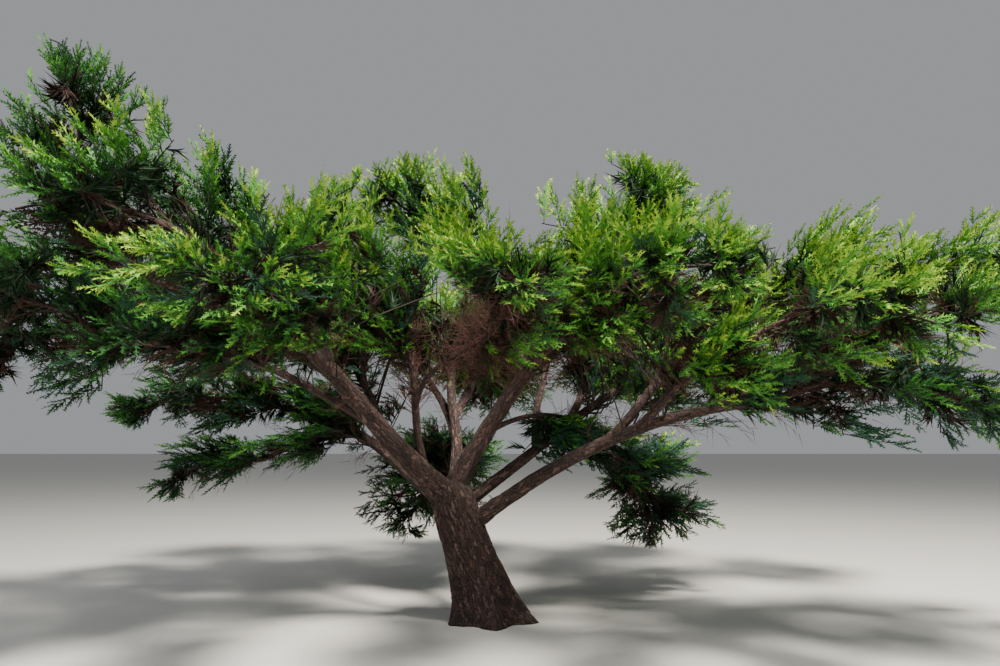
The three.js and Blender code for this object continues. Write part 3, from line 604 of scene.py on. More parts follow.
class Growth:
    """The plant worked out once: its limbs and masses, the twigs as rods, the axes of the plumes and the
    dead twigs as cones, the sprays, and the tufts close to the twigs."""

    def __init__(self):
        self.limbs = {}
        for row in LIMBS:
            self.limbs[row[0]] = Limb(row, self.limbs)
        self.masses = [Mass(row, self.limbs) for row in MASSES]
        shares = np.linspace(0, 1, LIMB_SAMPLES)
        limbs = self.limbs.values()
        self.limb_points = np.concatenate([limb.points(shares) for limb in limbs])
        self.limb_radii = np.concatenate([limb.radii(shares) for limb in limbs])
        low, high = (np.array(corner) for corner in CAD_BOUNDS)
        room = (high - low) * ROOM_OUTSIDE
        self.low, self.high = low - room, high + room
        self.low[2] = LEAST_HEIGHT
        self.random = np.random.default_rng(SEED)
        self.rods, self.axes, self.cones = [], [], []
        self.sprays, self.tufts = [], []
        for mass in self.masses:
            self.grow(mass)

    def own(self, mass, points, edge):
        """True for each point in the mass's own space and nearer its stem than any neighbour's."""
        depth = mass.depth_in(points)
        mine = (depth < edge) & np.all((points > self.low) & (points < self.high), axis=1)
        for spot, reach in BARE_SPOTS:
            mine &= np.linalg.norm((points - spot) / np.array(reach), axis=1) > 1
        low, high = points.min(0), points.max(0)
        for other in self.masses:
            if other is mass:
                continue
            room = max(other.width, other.depth) * NEIGHBOUR_ROOM
            nearest = np.clip(other.samples[0], low, high)
            if np.min(np.linalg.norm(other.samples[0] - nearest, axis=1)) > room:
                continue
            mine &= other.depth_in(points) > depth + SPACE_MARGIN
        return mine, depth

    def clear(self, points):
        """True for each point that no limb touches."""
        near = np.linalg.norm(self.limb_points - points.mean(0), axis=1) < NEAR_LIMBS
        offset = points[:, None, :] - self.limb_points[None, near]
        gap = np.linalg.norm(offset, axis=2) - self.limb_radii[near]
        return np.min(gap, axis=1) > LIMB_GAP

    def grow(self, mass):
        """Twigs round the stem and the shelf of a mass, and what grows on them."""
        draw = self.random.random
        crowding = CROWDED.get(mass.key, 1)
        count = max(LEAST_TWIGS, round(TWIGS_PER_SQUARE_METRE * crowding * mass.area()))
        number = np.arange(count)
        shelf = SHELF_TWIGS * mass.shelf / mass.length
        t = mix(-shelf, TWIG_END, (number * STEP_PER_TWIG + STEP_JITTER * draw(count)) % 1)
        t = np.where(t < 0, t / shelf * -TWIG_START, t)
        turn = np.radians(number * TURN_PER_TWIG + TURN_JITTER * draw(count))
        along, side, over, wide, deep = mass.stations(t)[1:]
        root = mass.roots(t)
        centre = np.where(t[:, None] < 0, mass.shelf_points(t), root)
        out = side * (wide * np.cos(turn))[:, None] + over * (deep * np.sin(turn))[:, None]
        size = np.linalg.norm(out, axis=1)[:, None]
        out = unit(out)
        reach = mix(*TWIG_REACH, draw(count))[:, None]
        forward = mix(*TWIG_FORWARD, draw(count))[:, None]
        for unused in range(TWIG_TRIES):
            end = centre + out * size * reach + along * size * forward
            mine = self.own(mass, end, TWIG_EDGE)[0]
            reach = np.where(mine[:, None], reach, reach * TWIG_DRAW_IN[0])
            forward = np.where(mine[:, None], forward, forward * TWIG_DRAW_IN[1])
        lengths = np.linalg.norm(end - root, axis=1)[:, None]
        bend = root + along * lengths * TWIG_BEND[0] + out * lengths * TWIG_BEND[1]
        keep = mine & (lengths[:, 0] > SHORTEST_TWIG)
        root, bend, end, out, along = (a[keep] for a in (root, bend, end, out, along))
        s = np.linspace(0, 1, TWIG_STEPS)[None, :, None]
        points = arc(root[:, None], bend[:, None], end[:, None], s)
        self.rods.append((points, np.broadcast_to(mix(*TWIG_RADII, s[0, :, 0]), points.shape[:2])))
        self.grow_plumes(mass, root, bend, end, out, along)
        self.grow_tufts(mass, root, bend, end)
        self.grow_dead_twigs(mass)

    def grow_plumes(self, mass, centre, bend, end, out, along):
        """Plumes of sprays along the twigs, combed the way that the mass grows."""
        draw = self.random.random
        count, each = len(centre), PLUMES_PER_TWIG
        shape = (count, each, 1)
        number = np.arange(each)[None, :, None]
        s = mix(PLUME_START, 1.0, staggered(number, PLUME_STAGGER, draw(shape)))
        s = np.clip(s, 0, 1)
        root, tangent = on_arcs(centre, bend, end, s)
        turn = np.radians(number * TURN_PER_TWIG + 2 * TURN_JITTER * draw(shape))
        lateral = turned(*across(tangent), turn)
        splay = np.where(number == each - 1, LAST_PLUME_SPLAY, mix(*PLUME_SPLAY, s))
        way = along[:, None] * PLUME_ALONG + out[:, None] * PLUME_OUT + lateral * splay + UP * PLUME_UP
        riser = (draw(shape) < RISER_SHARE) & (out[:, None, 2:] > RISER_LEAST_UP)
        rising = UP + along[:, None] * RISER_LEAN[0] + lateral * RISER_LEAN[1]
        way = unit(np.where(riser, rising, way))
        length = mix(*PLUME_LENGTH, s) * mix(*PLUME_LENGTH_RANGE, draw(shape))
        root, way, length = root.reshape(-1, 3), way.reshape(-1, 3), length.reshape(-1, 1)
        edge = mix(INNER_EDGE, OUTER_EDGE, draw(len(root)) ** 2)
        for attempt in range(PLUME_TRIES):
            mine = self.own(mass, root + way * length, edge)[0]
            stays = mine[:, None] | (attempt == PLUME_TRIES - 1)
            length = np.where(stays, length, length * PLUME_DRAW_IN)
        keep = mine & self.clear(root + way * length * 0.5)
        root, way, length, edge = root[keep], way[keep], length[keep], edge[keep]
        sag = mix(*PLUME_SAG, draw((len(root), 1))) * length
        middle = root + way * length * 0.5 + UP * sag
        tip = root + way * length
        self.axes.append((root, tip, np.full(len(root), PLUME_RADIUS)))
        self.grow_sprays(mass, root, middle, tip, length, edge)

    def grow_sprays(self, mass, start, middle, finish, length, edge):
        """Sprays to the left and right of each plume's axis, and one at its end."""
        draw = self.random.random
        count, each = len(start), SPRAYS_PER_PLUME
        shape = (count, each, 1)
        number = np.arange(each)[None, :, None]
        s = mix(SPRAY_START, 1.0, staggered(number, SPRAY_STAGGER, draw(shape)))
        s = np.clip(s, 0, 1)
        root, tangent = on_arcs(start, middle, finish, s)
        level, lift = across(tangent)
        roll = np.radians(PLUME_ROLL) * (draw((count, 1, 1)) - 0.5)
        roll = roll + np.radians(SPRAY_ROLL) * (draw(shape) - 0.5)
        lateral = turned(level, lift, roll)
        hand = np.where(number % 2 == 0, 1.0, -1.0)
        spread = mix(*SPRAY_SPREAD, s) * mix(*SPRAY_SPREAD_RANGE, draw(shape))
        spread = np.where(number == each - 1, LAST_SPRAY_SPREAD, spread)
        way = unit(tangent + lateral * hand * spread + UP * SPRAY_UP)
        over = lift * np.cos(roll) - level * np.sin(roll)
        face = unit(np.cross(way, np.cross(over, way)))
        size = mix(*SPRAY_LENGTH, s) * mix(*SPRAY_LENGTH_RANGE, draw(shape))
        size = size * np.clip(length[:, None] / USUAL_PLUME, *SPRAY_FIT)
        fate = np.broadcast_to(draw((count, 1, 1)), shape).reshape(-1)
        edge = np.broadcast_to(edge[:, None], (count, each)).reshape(-1) + SPRAY_PAST_EDGE
        root, way, face = (a.reshape(-1, 3) for a in (root, way, face))
        size, s = size.reshape(-1), s.reshape(-1)
        self.keep_sprays(self.sprays, mass, root, way, face, size, s, fate, edge)

    def grow_tufts(self, mass, centre, bend, end):
        """Crowded old growth close to the twigs, which closes the crown and darkens its depths with painted
        shade.
        """
        draw = self.random.random
        shape = (len(centre), TUFTS_PER_TWIG, 1)
        s = mix(*TUFT_PLACES, draw(shape))
        root, tangent = on_arcs(centre, bend, end, s)
        lateral = turned(*across(tangent), draw(shape) * 2 * np.pi)
        way = unit(tangent * TUFT_ALONG + lateral).reshape(-1, 3)
        face = unit(np.cross(way, draw(way.shape) - 0.5))
        size = mix(*TUFT_LENGTH, draw(len(way)))
        edge = np.full(len(way), TUFT_EDGE)
        fate = draw(len(way))
        root, s = root.reshape(-1, 3), s.reshape(-1)
        self.keep_sprays(self.tufts, mass, root, way, face, size, s, fate, edge)

    def keep_sprays(self, kept, mass, root, way, face, size, along, fate, edge):
        """Keeps the sprays whose tips are in the mass's own space and whose middles clear the limbs."""
        mine, depth = self.own(mass, root + way * size[:, None], edge)
        keep = mine & self.clear(root + way * size[:, None] * CLEAR_AT)
        grown = {"root": root, "way": way, "face": face, "size": size, "along": along, "fate": fate}
        grown |= {"depth": depth, "high": mass.height_in(root)}
        grown["mass"] = np.full(len(root), self.masses.index(mass))
        kept.append({key: values[keep] for key, values in grown.items()})

    def grow_dead_twigs(self, mass):
        """Bare brown twigs on the bough's last stretch and the first half of the mass's stem."""
        draw = self.random.random
        count = round(DEAD_TWIGS_PER_METRE * mass.length * DEAD_STRETCH * BRUSHY.get(mass.bough.key, 1))
        points = mass.bough.line()[0]
        where = mix(DEAD_FROM, LIMB_POINTS + DEAD_PAST_LIMB, draw(count))
        root, ahead = between_points(points, where), between_points(points, where + 1)
        along = unit(ahead - root)
        lateral = turned(*across(along), (draw(count) * 2 * np.pi)[:, None])
        way = unit(along * mix(*DEAD_ALONG, draw((count, 1))) + lateral)
        length = mix(*DEAD_LENGTH, draw((count, 1)) ** DEAD_LENGTH_POWER)
        self.cones.append((root, root + way * length, np.full(count, DEAD_RADIUS)))
        shape = (count, SIDE_TWIGS, 1)
        s = mix(*SIDE_PLACES, (np.arange(SIDE_TWIGS)[None, :, None] + draw(shape)) / SIDE_TWIGS)
        root = root[:, None] + (way * length)[:, None] * s
        stray = draw((count, SIDE_TWIGS, 3)) - 0.5
        side_way = unit(way[:, None] + SIDE_STRAY * stray)
        tip = root + side_way * mix(*SIDE_LENGTH, s) * mix(*SIDE_LENGTH_RANGE, draw(shape))
        root, tip = root.reshape(-1, 3), tip.reshape(-1, 3)
        self.cones.append((root, tip, np.full(len(root), SIDE_RADIUS)))


@functools.cache
def growth():
    return Growth()


def gathered(kept):
    """The kept sprays of all the masses in one set of arrays."""
    return {key: np.concatenate([grown[key] for grown in kept]) for key in kept[0]}


def mesh_object(name, points, faces, smooth=False):
    """A mesh object from an array of points and an array of triangles or quads."""
    mesh = bpy.data.meshes.new(name)
    corners = faces.shape[1]
    mesh.vertices.add(len(points))
    mesh.vertices.foreach_set("co", np.ascontiguousarray(points, np.float32).ravel())
    mesh.loops.add(faces.size)
    mesh.loops.foreach_set("vertex_index", np.ascontiguousarray(faces, np.int32).ravel())
    mesh.polygons.add(len(faces))
    mesh.polygons.foreach_set("loop_start", np.arange(0, faces.size, corners, dtype=np.int32))
    mesh.polygons.foreach_set("use_smooth", np.full(len(faces), smooth))
    mesh.update(calc_edges=True)
    mesh.validate()
    piece = bpy.data.objects.new(name, mesh)
    bpy.context.scene.collection.objects.link(piece)
    return piece


def finish_piece(piece, material, nodes):
    piece.data.materials.append(material)
    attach(piece, "root")
    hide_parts(*nodes)


# Materials


def add_node(tree, kind, output=0, links=None, inputs=None, stops=(), **settings):
    """Adds a node with its settings, its input values, its links from other nodes' outputs and a ramp's
    stops, and gives the one of its outputs that is asked for. Colours are sRGB hex."""
    node = tree.nodes.new("ShaderNode" + kind)
    for name, value in settings.items():
        setattr(node, name, value)
    for name, value in (inputs or {}).items():
        node.inputs[name].default_value = linear(value) if isinstance(value, str) else value
    for name, source in (links or {}).items():
        tree.links.new(source, node.inputs[name])
    for number, (position, colour) in enumerate(stops):
        elements = node.color_ramp.elements
        element = elements[number] if number < len(elements) else elements.new(position)
        element.position, element.color = position, linear(colour)
    return node.outputs[output] if node.outputs else None


def new_material(name):
    material = bpy.data.materials.new(name)
    material.use_nodes = True
    material.node_tree.nodes.clear()
    return material, material.node_tree


def juniper_bark(settings):
    """Juniper bark peels in long thin strips: matt and fibrous, red-brown in the cracks and where it is
    fresh, greyer where it has weathered, with a little yellow-green lichen. Painted shade darkens its
    cracks and the rims of its flakes."""
    material, tree = new_material("juniper_bark")
    add = functools.partial(add_node, tree)
    mix_colours = {"kind": "Mix", "output": MIX_RESULT, "data_type": "RGBA"}
    grain = add("Attribute", "Vector", attribute_name="grain")
    crack_and_shade = add("Attribute", "Fac", attribute_name="crack_and_shade")
    spot = add("TexCoord", "Object")
    long_strips = add("Mapping", "Vector", {"Vector": grain}, {"Scale": (1.0, 1.0, STRIPS_ALONG)})
    strip_size = {"Scale": 1 / settings.strip_width, "Detail": 4.0, "Roughness": 0.6, "Distortion": 0.5}
    strips = add("TexNoise", "Fac", {"Vector": long_strips}, strip_size)
    long_fibres = add("Mapping", "Vector", {"Vector": grain}, {"Scale": (1.0, 1.0, FIBRES_ALONG)})
    fibre_size = {"Scale": 1 / settings.fibre_width, "Detail": 2.0, "Roughness": 0.6}
    fibres = add("TexNoise", "Fac", {"Vector": long_fibres}, fibre_size)
    wander = add("TexNoise", "Color", {"Vector": grain}, {"Scale": WANDERS_PER_METRE, "Detail": 3.0})
    pair = {MIX_FIRST: grain, MIX_SECOND: wander}
    bent = add(links=pair, inputs={"Factor": WANDER_SHARE}, **mix_colours)
    long_flakes = add("Mapping", "Vector", {"Vector": bent}, {"Scale": (1.0, 1.0, FLAKES_ALONG)})
    flaked = {"Vector": long_flakes}
    flake_size = {"Scale": 1 / settings.flake_width}
    flakes = add("TexVoronoi", "Color", flaked, flake_size)
    rims = add("TexVoronoi", "Distance", flaked, flake_size, feature="DISTANCE_TO_EDGE")
    weather_size = {"Scale": WEATHER_PER_METRE, "Detail": 3.0, "Roughness": 0.6}
    weather = add("TexNoise", "Fac", {"Vector": spot}, weather_size)
    dark, brighter = settings.crack_and_shade_colour, settings.bark_colour
    strip_stops = ((0.38, dark), (0.47, "#2B1814"), (0.57, brighter), (0.72, "#6E524A"))
    colour = add("ValToRGB", "Color", {"Fac": strips}, stops=strip_stops)
    layers = (
        (0.5, flakes, "MIX", ((0.2, "#26140F"), (0.42, brighter), (0.6, "#5E3C33"), (0.8, "#957A70"))),
        (0.3, fibres, "MIX", ((0.35, "#1C100D"), (0.52, "#432A24"), (0.70, "#6B544D"))),
        (0.2, weather, "MIX", ((0.42, "#351F1A"), (0.64, "#5A4B45"))),
        # Painted shade: the rims of the flakes, where the bump sinks between them, are darkened.
        (1.0, rims, "MULTIPLY", ((0.02, "#3C3C3C"), (0.13, "#FFFFFF"))),
    )
    for share, pattern, kind, stops in layers:
        layer = add("ValToRGB", "Color", {"Fac": pattern}, stops=stops)
        pair = {MIX_FIRST: colour, MIX_SECOND: layer}
        colour = add(links=pair, inputs={"Factor": share}, blend_type=kind, **mix_colours)
    # Painted shade: the cracks darken towards the crack colour as far as the crack attribute says.
    colour = add(links={"Factor": crack_and_shade, MIX_FIRST: colour}, inputs={MIX_SECOND: dark}, **mix_colours)
    lichen_size = {"Scale": LICHEN_PER_METRE, "Detail": 6.0, "Roughness": 0.7}
    lichen = add("TexNoise", "Fac", {"Vector": spot}, lichen_size)
    lichen_range = {"From Min": 0.64, "From Max": 0.74, "To Min": 0.0, "To Max": 0.5}
    share = add("MapRange", "Result", {"Value": lichen}, lichen_range)
    pair = {"Factor": share, MIX_FIRST: colour}
    colour = add(links=pair, inputs={MIX_SECOND: settings.lichen_colour}, **mix_colours)
    height = add("Math", "Value", {0: strips, 1: rims}, operation="ADD")
    normal = add("Bump", "Normal", {"Height": height}, {"Strength": 0.9, "Distance": 0.012})
    surface = {"Base Color": colour, "Normal": normal}
    shader = add("BsdfPrincipled", "BSDF", surface, {"Roughness": 0.88, "IOR": 1.5})
    add("OutputMaterial", links={"Surface": shader})
    return material


def plain_material(name, colour, roughness, specular=0.4):
    material, tree = new_material(name)
    values = {"Base Color": colour, "Roughness": roughness, "IOR": 1.45, "Specular IOR Level": specular}
    shader = add_node(tree, "BsdfPrincipled", "BSDF", inputs=values)
    add_node(tree, "OutputMaterial", links={"Surface": shader})
    return material


# Bark: the trunk and the boughs with their relief


def cell_noise(angle, distance, columns, cell_length, random):
    """Smooth noise from 0 to 1 in cells as long as cell_length, seamless round the limb."""
    u = angle / (2 * np.pi) * columns
    v = distance / cell_length
    rows = int(v.max()) + 3
    grid = random.random((rows, columns))
    column, row = np.floor(u).astype(int), np.floor(v).astype(int)
    fu, fv = u - column, v - row
    fu, fv = fu * fu * (3 - 2 * fu), fv * fv * (3 - 2 * fv)
    left, right = column % columns, (column + 1) % columns
    low = mix(grid[row, left], grid[row, right], fu)
    high = mix(grid[row + 1, left], grid[row + 1, right], fu)
    return mix(low, high, fv)


def waves(rows, phases, angle, distance):
    total = np.zeros_like(angle)
    for phase, (height, number, turn) in zip(phases, rows):
        total = total + height * np.sin(number * angle + phase + turn * distance)
    return total


def relief(angle, distance, radius, settings, random):
    """How far the bark stands out, and how much painted shade darkens each point by how deep in a crack it
    lies.
    """
    phase = random.random(8) * 2 * math.pi
    flute = waves(FLUTES, phase, angle, distance)
    warp = waves(WARPS, phase[len(FLUTES) :], angle, distance)
    twist = angle + BARK_TWIST * distance
    columns = max(LEAST_PLATES, round(2 * math.pi * np.max(radius) / settings.plate_width))
    plates = cell_noise(twist + warp / columns, distance, columns, settings.plate_length, random)
    fine = cell_noise(twist, distance, 2 * columns, settings.plate_length * FINE_PLATE_SHARE, random)
    crack_and_shade = np.clip(1 - np.abs(2 * plates - 1) * CRACK_EDGE, 0, 1)
    fine_crack = np.clip(1 - np.abs(2 * fine - 1) * FINE_CRACK_EDGE, 0, 1)
    depth = settings.ridge_depth * np.clip(radius / FULL_RIDGE_RADIUS, *RIDGE_RANGE)
    knots = np.zeros_like(angle)
    length = distance.max()
    for unused in range(max(2, round(length * KNOTS_PER_METRE))):
        turn, where = random.random() * 2 * math.pi, mix(*KNOT_PLACES, random.random()) * length
        swing = np.angle(np.exp(1j * (angle - turn))) * radius
        spread = KNOT_SPREAD * radius + LEAST_KNOT
        bump = np.exp(-(swing**2 + (distance - where) ** 2) / (2 * spread**2))
        knots += bump * radius * KNOT_HEIGHT
    shift = flute * radius * FLUTE_DEPTH + knots + depth * (plates - 0.5)
    shift = shift - depth * (CRACK_DEPTH * crack_and_shade + FINE_CRACK_DEPTH * fine_crack)
    return shift, np.clip(CRACK_SHADE * crack_and_shade + FINE_CRACK_SHADE * fine_crack, 0, MOST_SHADE)


def along_line(points, radii, step):
    """The line drawn again with rings a step apart: points, directions, radii and distances."""
    lengths = np.linalg.norm(np.diff(points, axis=0), axis=1)
    distance = np.concatenate([[0], np.cumsum(lengths)])
    rings = max(LEAST_RINGS, round(distance[-1] / step))
    even = np.linspace(0, distance[-1], rings + 1)
    drawn = between_points(points, even, distance)
    return drawn, unit(np.gradient(drawn, axis=0)), np.interp(even, distance, radii), even


def turning_frames(along):
    """Side and over directions that follow the line without twisting."""
    side = unit(np.cross(along[0], OBLIQUE))
    sides = []
    for way in along:
        side = unit(side - way * np.dot(side, way))
        sides.append(side)
    sides = np.array(sides)
    return sides, np.cross(along, sides)


def limb_mesh(limb, settings, random):
    """Points, grain and the painted shade of the cracks of a limb's bark, ring by ring."""
    points, radii = limb.line()
    centre, along, radius, distance = along_line(points, radii, settings.ring_step)
    side, over = turning_frames(along)
    sides = int(np.clip(round(2 * math.pi * radius.max() / settings.side_step), *SIDES_RANGE))
    turns = np.arange(sides) * 2 * math.pi / sides
    angle, distance = np.meshgrid(turns, distance)
    radius = radius[:, None] + 0 * angle
    shift, crack_and_shade = relief(angle, distance, radius, settings, random)
    out = side[:, None] * np.cos(angle)[..., None] + over[:, None] * np.sin(angle)[..., None]
    return centre[:, None] + out * (radius + shift)[..., None], grain_of(angle, distance, radius), crack_and_shade


def grain_of(angle, distance, radius):
    return np.stack([np.cos(angle) * radius, np.sin(angle) * radius, distance], axis=2)


def trunk_mesh(trunk, settings, random):
    """The trunk's rings are level. They flare in root lobes at the ground and close in a dome on top."""
    rings = round(trunk.length / settings.ring_step)
    heights, narrowing = np.array(DOME).T
    t = np.concatenate([np.linspace(0, 1, rings)[:-1], heights])
    closing = np.concatenate([np.ones(rings - 1), narrowing])
    centre = trunk.points(t)
    flare = np.exp(-centre[:, 2] / (FLARE_HEIGHT * MM))[:, None]
    sides = int(2 * math.pi * trunk.foot * FLARED_GIRTH / settings.side_step)
    turns = np.arange(sides) * 2 * math.pi / sides
    angle, distance = np.meshgrid(turns, t * trunk.length)
    radius = (trunk.radii(t) * closing)[:, None] * (1 + FLARE_SPREAD * flare) + 0 * angle
    lobe = 1 + FLARE_LOBE_DEPTH * flare * np.cos(FLARE_LOBES * angle + FLARE_LOBE_TURN)
    shift, crack_and_shade = relief(angle, distance, radius, settings, random)
    reach = radius * lobe + shift
    out = np.stack([reach * np.cos(angle), reach * np.sin(angle), 0 * reach], axis=2)
    return centre[:, None] + out, grain_of(angle, distance, radius), crack_and_shade


def tube_faces(rings, sides):
    """Triangles between the rings of a tube, and a fan to the two points after them that close it."""
    r, s = np.meshgrid(np.arange(rings - 1), np.arange(sides), indexing="ij")
    a = (r * sides + s).ravel()
    b = (r * sides + (s + 1) % sides).ravel()
    walls = np.concatenate([np.stack([a, b, a + sides], 1), np.stack([b, b + sides, a + sides], 1)])
    s = np.arange(sides)
    after = (s + 1) % sides
    last = (rings - 1) * sides
    low, high = rings * sides, rings * sides + 1
    floor = np.stack([after, s, np.full(sides, low)], 1)
    roof = np.stack([last + s, last + after, np.full(sides, high)], 1)
    return np.concatenate([walls, floor, roof])


def with_ends(rings):
    """The values of a tube's rings as one list, and after them the middles of its first and last ring."""
    return np.concatenate([rings.reshape(-1, 3), [rings[0].mean(0), rings[-1].mean(0)]])


def length_setting(name, description, default):
    return bpy.props.FloatProperty(name=name, description=description, default=default, unit="LENGTH")


def colour_setting(name, default, use="Foliage"):
    return bpy.props.StringProperty(name=name, description=use + ", sRGB hex", default=default)


class JuniperBarkSettings(bpy.types.PropertyGroup):
    """Sizes and colours of the bark"""

    ring_step: length_setting("Ring step", "Distance between two rings of a limb", 0.022)
    side_step: length_setting("Side step", "Distance round a limb between points", 0.0115)
    ridge_depth: length_setting("Ridge depth", "Depth of the cracks on the trunk", 0.011)
    plate_width: length_setting("Plate width", "Width of a plate of bark", 0.034)
    plate_length: length_setting("Plate length", "Length of a plate of bark", 0.13)
    strip_width: length_setting("Strip width", "Width of a peeling strip of bark", 0.016)
    # Real fibres are about 1 mm wide, too fine to show from the camera, so they are drawn coarser.
    fibre_width: length_setting("Fibre width", "Width of a fibre of the bark", 0.0055)
    flake_width: length_setting("Flake width", "Width of a loose flake of bark", 0.026)
    # The darkest tone of the strips, and the colour of the painted shade in the cracks
    crack_and_shade_colour: colour_setting("Crack colour", "#120B09", "Deep between the strips")
    bark_colour: colour_setting("Bark colour", "#43281F", "Fresh red-brown bark")
    lichen_colour: colour_setting("Lichen colour", "#7F8450", "Lichen spots")


class OBJECT_OT_juniper_bark(bpy.types.Operator):
    """Makes the trunk and every bough with the relief of the bark"""

    bl_idname = "object.juniper_bark"
    bl_label = "Trunk and Boughs"

    def execute(self, context):
        settings = context.scene.juniper_bark
        material = juniper_bark(settings)
        for number, limb in enumerate(growth().limbs.values()):
            random = np.random.default_rng(SEED + number)
            make = trunk_mesh if limb.name == "trunk" else limb_mesh
            points, grain, crack_and_shade = make(limb, settings, random)
            faces = tube_faces(*crack_and_shade.shape)
            piece = mesh_object(limb.name + "_bark", with_ends(points), faces, smooth=True)
            attribute = piece.data.attributes.new("grain", "FLOAT_VECTOR", "POINT")
            attribute.data.foreach_set("vector", with_ends(grain).astype(np.float32).ravel())
            # The crack attribute holds painted shade, darkest deep in the cracks.
            crack_shade_values = np.concatenate([crack_and_shade.ravel(), [0, 0]]).astype(np.float32)
            attribute = piece.data.attributes.new("crack_and_shade", "FLOAT", "POINT")
            attribute.data.foreach_set("value", crack_shade_values)
            nodes = [limb.name, limb.mass.name] if limb.mass else [limb.name]
            finish_piece(piece, material, nodes)
        return {"FINISHED"}


# Twigs


def rod_arrays(points, radii):
    """Points and triangles of many tapering rods, each along its own line, closed to a point."""
    count, steps = points.shape[:2]
    along = unit(np.gradient(points, axis=1))
    side = unit(np.cross(along, NEARLY_UP))
    over = np.cross(side, along)
    turns = np.arange(TWIG_SIDES) * 2 * math.pi / TWIG_SIDES
    rings = points[:, :, None] + radii[:, :, None, None] * (
        side[:, :, None] * np.cos(turns)[:, None] + over[:, :, None] * np.sin(turns)[:, None]
    )
    ends = points[:, -1] + along[:, -1] * radii[:, -1, None] * 2
    all_points = np.concatenate([rings.reshape(count, -1, 3), points[:, :1], ends[:, None]], axis=1)
    faces = tube_faces(steps, TWIG_SIDES)
    all_faces = faces[None] + (np.arange(count) * all_points.shape[1])[:, None, None]
    return all_points.reshape(-1, 3), all_faces.reshape(-1, 3)


def cone_arrays(roots, tips, radii):
    """Points and triangles of many thin three-sided cones."""
    count = len(roots)
    along = unit(tips - roots)
    side = unit(np.cross(along, NEARLY_UP))
    over = np.cross(side, along)
    turns = np.arange(3) * 2 * math.pi / 3
    ring = side[:, None] * np.cos(turns)[:, None] + over[:, None] * np.sin(turns)[:, None]
    ring = roots[:, None] + ring * radii[:, None, None]
    points = np.concatenate([ring, tips[:, None]], axis=1)
    faces = np.array([[0, 1, 3], [1, 2, 3], [2, 0, 3], [0, 2, 1]])
    all_faces = faces[None] + (np.arange(count) * 4)[:, None, None]
    return points.reshape(-1, 3), all_faces.reshape(-1, 3)


def joined(parts):
    """One array of points and one of faces from many pairs of them."""
    offsets = np.cumsum([0] + [len(points) for points, unused in parts[:-1]])
    points = np.concatenate([points for points, unused in parts])
    return points, np.concatenate([faces + offset for (unused, faces), offset in zip(parts, offsets)])


class JuniperTwigSettings(bpy.types.PropertyGroup):
    """Colours of the bare twigs"""

    colour: colour_setting("Twig colour", "#211C13", "Twigs that carry sprays")
    dead_colour: colour_setting("Dead twig colour", "#483029", "Bare dead twigs")


class OBJECT_OT_juniper_twigs(bpy.types.Operator):
    """Makes the twigs inside the masses, and the bare dead ones under them"""

    bl_idname = "object.juniper_twigs"
    bl_label = "Twigs"

    def execute(self, context):
        settings = context.scene.juniper_twigs
        nodes = [mass.name for mass in growth().masses]
        rods = [rod_arrays(*row) for row in growth().rods]
        points, faces = joined(rods + [cone_arrays(*row) for row in growth().axes])
        piece = mesh_object("twigs", points, faces, smooth=True)
        # Young bark is dry and dull, and old dead wood duller still.
        finish_piece(piece, plain_material("twig_bark", settings.colour, 0.85), nodes)
        points, dead_faces = joined([cone_arrays(*cones) for cones in growth().cones])
        piece = mesh_object("dead_twigs", points, dead_faces)
        finish_piece(piece, plain_material("dead_twig_bark", settings.dead_colour, 0.9), nodes)
        return {"FINISHED"}


# Sprays


class Template:
    """A spray of length 1, drawn once and copied: points, and triangles that each lie further out or in."""

    def __init__(self):
        self.points, self.faces, self.outer = [], [], []

    def triangle(self, corners, is_outer):
        first = len(self.points)
        self.points.extend(corners)
        self.faces.append([first, first + 1, first + 2])
        self.outer.append(is_outer)

    def closed(self):
        self.points, self.faces = np.array(self.points), np.array(self.faces)
        self.outer = np.array(self.outer)
        return self


def feather(random, pairs=7, half=0.056, reach=0.31):
    """A slim body with pairs of pointed fingers that turn a little out of its plane."""
    made = Template()
    low = np.array([0.45, 0.0, -0.02])
    for hand in (-1, 1):
        edge = np.array([0.4, hand * 0.045, 0.015])
        made.triangle([np.zeros(3), edge, low], False)
        made.triangle([low, edge, np.array([1.0, 0.0, 0.0])], True)
    for number in range(pairs):
        s = number / (pairs - 1)
        for hand in (-1, 1):
            x = mix(*FINGER_PLACES, s) + FINGER_JITTER * random.random()
            length = reach * mix(1.0, FINGER_TAPER, s) * mix(*SPRAY_LENGTH_RANGE, random.random())
            angle = math.radians(mix(*FINGER_ANGLE, random.random()))
            turn = math.radians(mix(*FINGER_TURN, random.random()))
            out = length * math.sin(angle)
            tip = [x + length * math.cos(angle), hand * out * math.cos(turn), out * math.sin(turn)]
            base = np.array([half, 0.0, 0.0])
            root = np.array([x, 0.0, 0.0])
            made.triangle([root - base, root + base, np.array(tip)], s > OUTER_FROM)
    return made.closed()


def tuft(random, blades=15, half=0.03):
    """Narrow blades that spread from a short axis."""
    made = Template()
    for number in range(blades):
        root = np.array([mix(0.0, 0.5, number / blades), 0.0, 0.0])
        angle = math.radians(mix(*BLADE_ANGLE, random.random()))
        turn = random.random() * 2 * math.pi
        length = mix(*BLADE_LENGTH, random.random())
        way = [math.cos(angle), math.sin(angle) * math.cos(turn), math.sin(angle) * math.sin(turn)]
        aside = half * unit(np.cross(way, random.random(3) - 0.5))
        made.triangle([root - aside, root + aside, root + length * np.array(way)], False)
    return made.closed()


